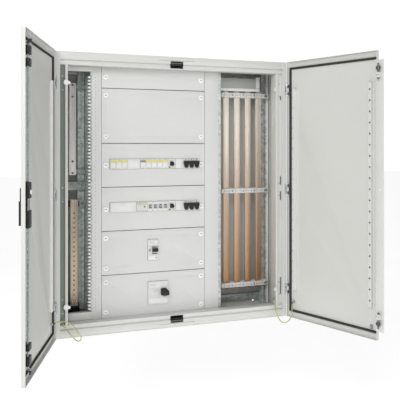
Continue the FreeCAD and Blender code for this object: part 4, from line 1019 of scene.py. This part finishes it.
TOOTH_RIGHT = [(10.2, -1.0), (9.0, -13.0), (4.5, -20.5)]
TOOTH_LEFT = [(-across, up) for across, up in TOOTH_RIGHT]
TOOTH = TOOTH_LEFT[:1] + TOOTH_RIGHT + TOOTH_LEFT[:0:-1]
for handle_name, row_z in (("fuse_handle_upper", UPPER_Z), ("fuse_handle_lower", LOWER_Z)):
    teeth = Builder()
    teeth.block(BLACK_PLASTIC, (44.0, -210.0, row_z - 3.0), (121.0, -197.2, row_z + 13.0), 1.6)
    for pole in range(3):
        pole_x = SWITCH_LEFT + POLE * (pole + 0.5)
        tooth = [(pole_x + across, row_z + up) for across, up in TOOTH]
        teeth.prism(BLACK_PLASTIC, tooth, -209.6, -197.6, 1.0)
    teeth.piece(handle_name + "_teeth", handle_name, [handle_name])

# ---- busbar supports
SUPPORT_LEVELS = (469.0, -13.0, -486.0)
FIRST_BUSBAR_X = 309.5
BUSBAR_PITCH = 60.0
BAR_FACE_Y = -102.0
WASHER = [(5.6, -0.2), (5.6, 0.9), (0.0, 0.9)]

supports = Builder()
for z in SUPPORT_LEVELS:
    for gap in range(5):
        post_x = FIRST_BUSBAR_X + (gap - 0.5) * BUSBAR_PITCH
        supports.lathe(STEEL, (post_x, BAR_FACE_Y, z), TO_FRONT, WASHER, 20)
        supports.hexagon(STEEL, (post_x, BAR_FACE_Y - 0.9, z), TO_FRONT, 8.0, 3.6)
    for bar in range(4):
        bar_x = FIRST_BUSBAR_X + bar * BUSBAR_PITCH
        # Dark grey strips beside each bar: painted shade in the support's notches.
        for edge_x in (bar_x - 15.0, bar_x + 15.0):
            low = (edge_x - 0.6, BAR_FACE_Y - 0.3, z - 9.6)
            supports.block(DARK_GREY_AND_SHADE, low, (edge_x + 0.6, BAR_FACE_Y + 0.6, z + 9.6), 0)
        low = (bar_x - 12.0, BAR_FACE_Y - 0.3, z - 1.0)
        supports.block(LINE_GREY, low, (bar_x + 12.0, BAR_FACE_Y + 0.4, z + 1.0), 0.1)
    for end_x in (262.0, 540.0):
        supports.hexagon(STEEL, (end_x, -80.0, z), TO_FRONT, 10.0, 4.5)
supports.piece("support_bolts", "cabinet")

bracket = Builder()
bracket.block(SHEET_PAINT, (243.0, -98.5, 504.5), (469.5, -97.8, 553.5), 0.2)
bracket.block(WHITE_PLASTIC, (242.0, -102.7, 489.5), (489.5, -101.9, 503.5), 0.2)
bracket.block(WHITE_PLASTIC, (470.6, -102.7, 508.0), (489.5, -101.9, 561.5), 0.2)
bracket.piece("busbar_bracket_faces", "cabinet")

# ---- screws on the left-hand bars
SCREW_HEAD = [(3.6, -0.3), (3.8, 0.6), (3.8, 2.0), (2.8, 2.8), (1.2, 2.8), (0.9, 1.9), (0.0, 1.8)]
BIG_SCREW = [(5.0, -0.2), (5.0, 1.6), (3.4, 2.6), (0.0, 2.4)]
TERMINAL_BORE = [(4.4, -0.2), (4.4, 0.5), (3.4, 0.7), (3.1, 0.2), (0.0, 0.15)]

screws = Builder()
for z in (88.0, 142.0, 439.0, 492.0):
    screws.lathe(DARK_STEEL, (-462.0, BAR_FACE_Y, z), TO_FRONT, BIG_SCREW, 18)
for z in (-516.0, -502.0, -62.0, -48.0):
    for x in (-464.0, -444.0):
        screws.lathe(STEEL, (x, BAR_FACE_Y, z), TO_FRONT, SCREW_HEAD, 14)
# Terminal bores in the darker zinc: painted shade inside the holes.
for step in range(18):
    place = (-456.0, BAR_FACE_Y, -470.0 + 22.0 * step)
    screws.lathe(DARK_ZINC, place, TO_FRONT, TERMINAL_BORE, 18)
for x in (-478.3, -448.8):
    screws.block(STEEL, (x, -102.8, 82.0), (x + 3.1, -101.5, 499.0), 0.3)
screws.piece("bar_screws", "cabinet")


# ---- hinge details
HINGE_LEVELS = (-488.0, 0.0, 488.0)
PLATE_SCREW_X = 562.5 - 7.6
PLATE_SCREW = [(3.2, 0.0), (3.2, 0.8), (2.0, 1.6), (0.0, 1.8)]
FIXING_SCREW = [(3.6, -0.2), (3.6, 0.8), (2.0, 1.6), (0.0, 1.7)]


def hinge_screws(name, body, opened, sign):
    """Two screws on each door-side plate."""
    builder = Builder(opened)
    for z in HINGE_LEVELS:
        for level in (z - 18.0, z + 18.0):
            centre = (sign * PLATE_SCREW_X, -265.8, level)
            builder.lathe(STEEL, centre, TO_BACK, PLATE_SCREW, 16)
    builder.piece(name, body)


hinge_screws("left_hinge_screws", "left_door", LEFT_OPEN, -1)
hinge_screws("right_hinge_screws", "right_door", RIGHT_OPEN, 1)

groove = Builder()
# Dark grey blocks in the right groove: painted shade for its slots.
for low, high in ((440.0, 460.0), (20.0, 64.0), (-54.0, -10.0), (-518.0, -434.0)):
    groove.block(DARK_GREY_AND_SHADE, (535.5, GROOVE_Y - 0.6, low), (541.0, GROOVE_Y + 0.4, high), 0.3)
for x in (-530.0, 530.0):
    for z in HINGE_LEVELS:
        for level in (z - 30.0, z + 30.0):
            groove.lathe(STEEL, (x, GROOVE_Y, level), TO_FRONT, FIXING_SCREW, 16)
groove.piece("hinge_fixings", "cabinet")

# A dark strip on the left groove's floor: painted shade for the shadow of the open left door.
strip = Builder()
strip.block(GROOVE_SHADE_PAINT, (-541.8, -237.0, -566.0), (-519.8, -236.1, 566.0), 0.2)
strip.piece("left_groove_painted_shade", "cabinet")

# ---- lock and rod details
LOCK_SCREW = [(3.4, -0.2), (3.4, 0.7), (2.0, 1.5), (0.0, 1.6)]
GUIDE_SCREW = [(2.8, -0.2), (2.8, 0.7), (0.0, 1.4)]
GUIDE_LEVELS = (550.0, 506.0, -494.5, -543.0)
CAP = [(8.4, -4.0), (8.6, -0.6), (8.0, 0.6), (5.0, 1.0), (0.0, 1.0)]

lock = Builder(LEFT_OPEN)
for z in (-64.0, 72.0):
    for x in (-43.0, -21.0):
        lock.lathe(DARK_STEEL, (x, CASE_FACE_Y, z), TO_BACK, LOCK_SCREW, 16)
for z in (34.0, -34.0):
    lock.block(DARK_GREY_AND_SHADE, (-47.0, CASE_FACE_Y - 0.2, z), (-17.0, CASE_FACE_Y + 0.6, z + 2.0), 0.2)
for z in GUIDE_LEVELS:
    for x in (-45.0, -18.5):
        lock.lathe(DARK_STEEL, (x, CASE_FACE_Y, z), TO_BACK, GUIDE_SCREW, 16)
lock.piece("lock_screws", "left_door")

spindle_cap = Builder(LEFT_OPEN)
spindle_cap.lathe(WHITE_PLASTIC, (-29.5, -240.8, 50.0), TO_BACK, CAP)
spindle_cap.block(LINE_GREY, (-34.5, -240.0, 49.0), (-24.5, -239.6, 51.0), 0.1)
spindle_cap.piece("spindle_cap", "door_handle")

for rod_name, sign in (("upper_rod", 1), ("lower_rod", -1)):
    tip = Builder(LEFT_OPEN)
    low, high = sorted((sign * 572.4, sign * 590.1))
    tip.block(BLACK_PLASTIC, (-34.2, -247.6, low), (-15.8, -241.3, high), 1.2)
    low, high = sorted((sign * 572.4, sign * 577.8))
    tip.block(BLACK_PLASTIC, (-34.2, -257.2, low), (-15.8, -243.0, high), 1.0)
    tip.piece(rod_name + "_hook", rod_name)

# ---- catch details
CATCH_RIVET = [(2.4, 0.0), (2.4, 0.4), (0.0, 0.7)]

catches = Builder()
for sign in (1, -1):
    low, high = sorted((sign * 593.5, sign * 595.0))
    catches.block(LINE_GREY, (-34.0, FRONT_Y - 0.4, low), (20.0, FRONT_Y + 0.2, high), 0)
    for x in (-33.5, 19.5):
        catches.lathe(DARK_STEEL, (x, FRONT_Y, sign * 599.0), TO_FRONT, CATCH_RIVET, 14)
    # A dark grey line by the catches: painted shadow in the gap between the rail and the covers.
    low, high = sorted((sign * 606.0, sign * 606.9))
    catches.block(DARK_GREY_AND_SHADE, (-95.0, FRONT_Y - 0.3, low), (82.0, FRONT_Y + 0.2, high), 0)
catches.piece("catch_details", "cabinet")

# ---- right door details
EDGE_KNOB = [(4.0, -0.2), (4.0, 1.2), (2.6, 2.0), (0.0, 2.1)]
BOLT_SCREW = [(2.2, -0.2), (2.2, 0.5), (0.0, 1.0)]
RING_DISH = [(10.6, -3.0), (11.2, 0.0), (10.6, 3.0), (8.4, 3.4), (6.8, 0.6), (0.0, 0.4)]
RING_MIDDLE = [(6.4, 0.3), (6.4, 0.9), (0.0, 1.0)]

extras = Builder(RIGHT_OPEN)
extras.block(LINE_GREY, (58.0, -267.2, -582.0), (70.0, -261.0, -564.0), 0.8)
extras.block(STEEL, (61.0, -261.2, -576.0), (67.0, -256.5, -570.0), 0.6)
extras.lathe(WHITE_PLASTIC, (8.0, -248.8, 26.0), TO_BACK, EDGE_KNOB, 18)
for z in (516.0, -516.0):
    for x in (3.5, 14.5):
        extras.lathe(DARK_STEEL, (x, -231.0, z), TO_BACK, BOLT_SCREW, 14)
extras.piece("right_door_fittings", "right_door")

for bolt_name, ring_z in (("upper_bolt", 546.0), ("lower_bolt", -546.0)):
    ring = Builder(RIGHT_OPEN)
    centre = (9.0, -238.0, ring_z)
    ring.lathe(DARK_STEEL, centre, TO_BACK, RING_DISH, 32)
    ring.lathe(BLACK_PLASTIC, centre, TO_BACK, RING_MIDDLE, 24)
    ring.piece(bolt_name + "_ring", bolt_name)


# ---- lead terminals
TONGUE = [(3.2, 0.0), (6.6, 0.0), (6.6, 1.2), (3.2, 1.2)]
SLEEVE = [(2.6, 0.3), (3.3, 0.6), (3.3, 8.0), (2.9, 8.6), (2.5, 8.6)]


def terminal(builder, foot, axis, ring_at, lead_end, lead_next):
    """A nut and a ring tongue on a stud and the sleeve that grips the lead."""
    axis = Vector(axis).normalized()
    foot = Vector(foot)
    builder.hexagon(STEEL, foot + axis * (ring_at - 5.2), axis, 10.0, 5.0)
    builder.lathe(STEEL, foot + axis * ring_at, axis, TONGUE, 24)
    start = Vector(lead_end) / MM
    way = (Vector(lead_next) / MM - start).normalized()
    builder.lathe(DARK_STEEL, start, way, SLEEVE, 18)


body_ends = Builder()
terminal(body_ends, (-535.5, GROOVE_Y, -553.0), TO_FRONT, 12.0, *LEFT_LEAD_ROUTE[:2])
terminal(body_ends, (508.5, -239.0, -535.0), (-1, 0, 0), 6.4, *RIGHT_LEAD_ROUTE[:2])
body_ends.piece("body_terminals", "cabinet")


def door_terminal(body, opened, stud_x, stud_z, route):
    """The lead's end on the stud inside a door; the lead's route is given with the door open."""
    foot = opened @ Vector((stud_x, DOOR_INSIDE_Y, stud_z))
    axis = opened.to_3x3() @ Vector(TO_BACK)
    end = Builder()
    terminal(end, foot, axis, 8.2, route[-1], route[-2])
    end.piece(body + "_terminal", body)


door_terminal("left_door", LEFT_OPEN, -500.0, -541.0, LEFT_LEAD_ROUTE)
door_terminal("right_door", RIGHT_OPEN, 520.5, -547.0, RIGHT_LEAD_ROUTE)


# ---- studio
AMBIENT_LEFT = 0.58
AMBIENT_RIGHT = 0.23
KEY_POWER = 79.0
FRONT_POWER = 3.0
FILL_POWER = 9.0
FLOOR_Z = -1.25
FLOOR_GLOW = 0.6
BACKDROP_STRENGTH = 1.05


def soft_light(name, place, target, size, power):
    """A rectangular light aimed at target."""
    data = bpy.data.lights.new(name, "AREA")
    data.shape = "RECTANGLE"
    data.size = size[0]
    data.size_y = size[1]
    data.energy = power
    light = added(name, data)
    light.location = place
    way = Vector(target) - Vector(place)
    light.rotation_euler = way.to_track_quat("-Z", "Y").to_euler()


def studio_floor():
    """A large pale floor well below the cabinet."""
    shape = bmesh.new()
    bmesh.ops.create_grid(shape, x_segments=1, y_segments=1, size=30.0)
    mesh = bpy.data.meshes.new("studio_floor")
    shape.to_mesh(mesh)
    shape.free()
    recipe = Recipe("studio_floor_paint", specular=0.2)
    tones = [(0.3, (0.86, 0.86, 0.86, 1)), (0.7, (0.9, 0.9, 0.9, 1))]
    recipe.colour(recipe.ramp(recipe.noise(1.5), tones))
    recipe.roughness(recipe.spread(recipe.noise(3.0), 0.6, 0.8))
    recipe.shader.inputs["Emission Color"].default_value = WHITE
    recipe.shader.inputs["Emission Strength"].default_value = FLOOR_GLOW
    mesh.materials.append(recipe.material)
    floor = added("studio_floor", mesh)
    floor.location = (0.0, 0.0, FLOOR_Z)


def studio_world():
    """Soft light, stronger from the left, behind a white backdrop."""
    world = bpy.data.worlds.new("studio_world")
    world.use_nodes = True
    tree = world.node_tree
    background = tree.nodes["Background"]
    background.inputs["Color"].default_value = WHITE
    way = new_node(tree, "TexCoord")
    split = new_node(tree, "SeparateXYZ")
    sides = new_node(tree, "MapRange", map_range(-0.8, 0.8, AMBIENT_LEFT, AMBIENT_RIGHT))
    tree.links.new(way.outputs["Generated"], split.inputs["Vector"])
    tree.links.new(split.outputs["X"], sides.inputs["Value"])
    tree.links.new(sides.outputs["Result"], background.inputs["Strength"])
    backdrop = new_node(tree, "Background", {"Color": WHITE, "Strength": BACKDROP_STRENGTH})
    rays = new_node(tree, "LightPath")
    chosen = new_node(tree, "MixShader")
    tree.links.new(rays.outputs["Is Camera Ray"], chosen.inputs["Fac"])
    tree.links.new(background.outputs["Background"], chosen.inputs[1])
    tree.links.new(backdrop.outputs["Background"], chosen.inputs[2])
    tree.links.new(chosen.outputs["Shader"], tree.nodes["World Output"].inputs["Surface"])
    bpy.context.scene.world = world


studio_floor()
studio_world()
soft_light("key_light", (-2.2, -3.8, 2.2), (0.0, -0.2, 0.0), (2.0, 2.0), KEY_POWER)
soft_light("front_light", (-0.9, -4.2, 0.9), (0.0, -0.2, 0.0), (1.6, 1.6), FRONT_POWER)
soft_light("fill_light", (2.1, -3.8, 0.95), (0.4, -0.1, 0.3), (1.0, 1.3), FILL_POWER)
bpy.context.scene.view_settings.view_transform = "Standard"
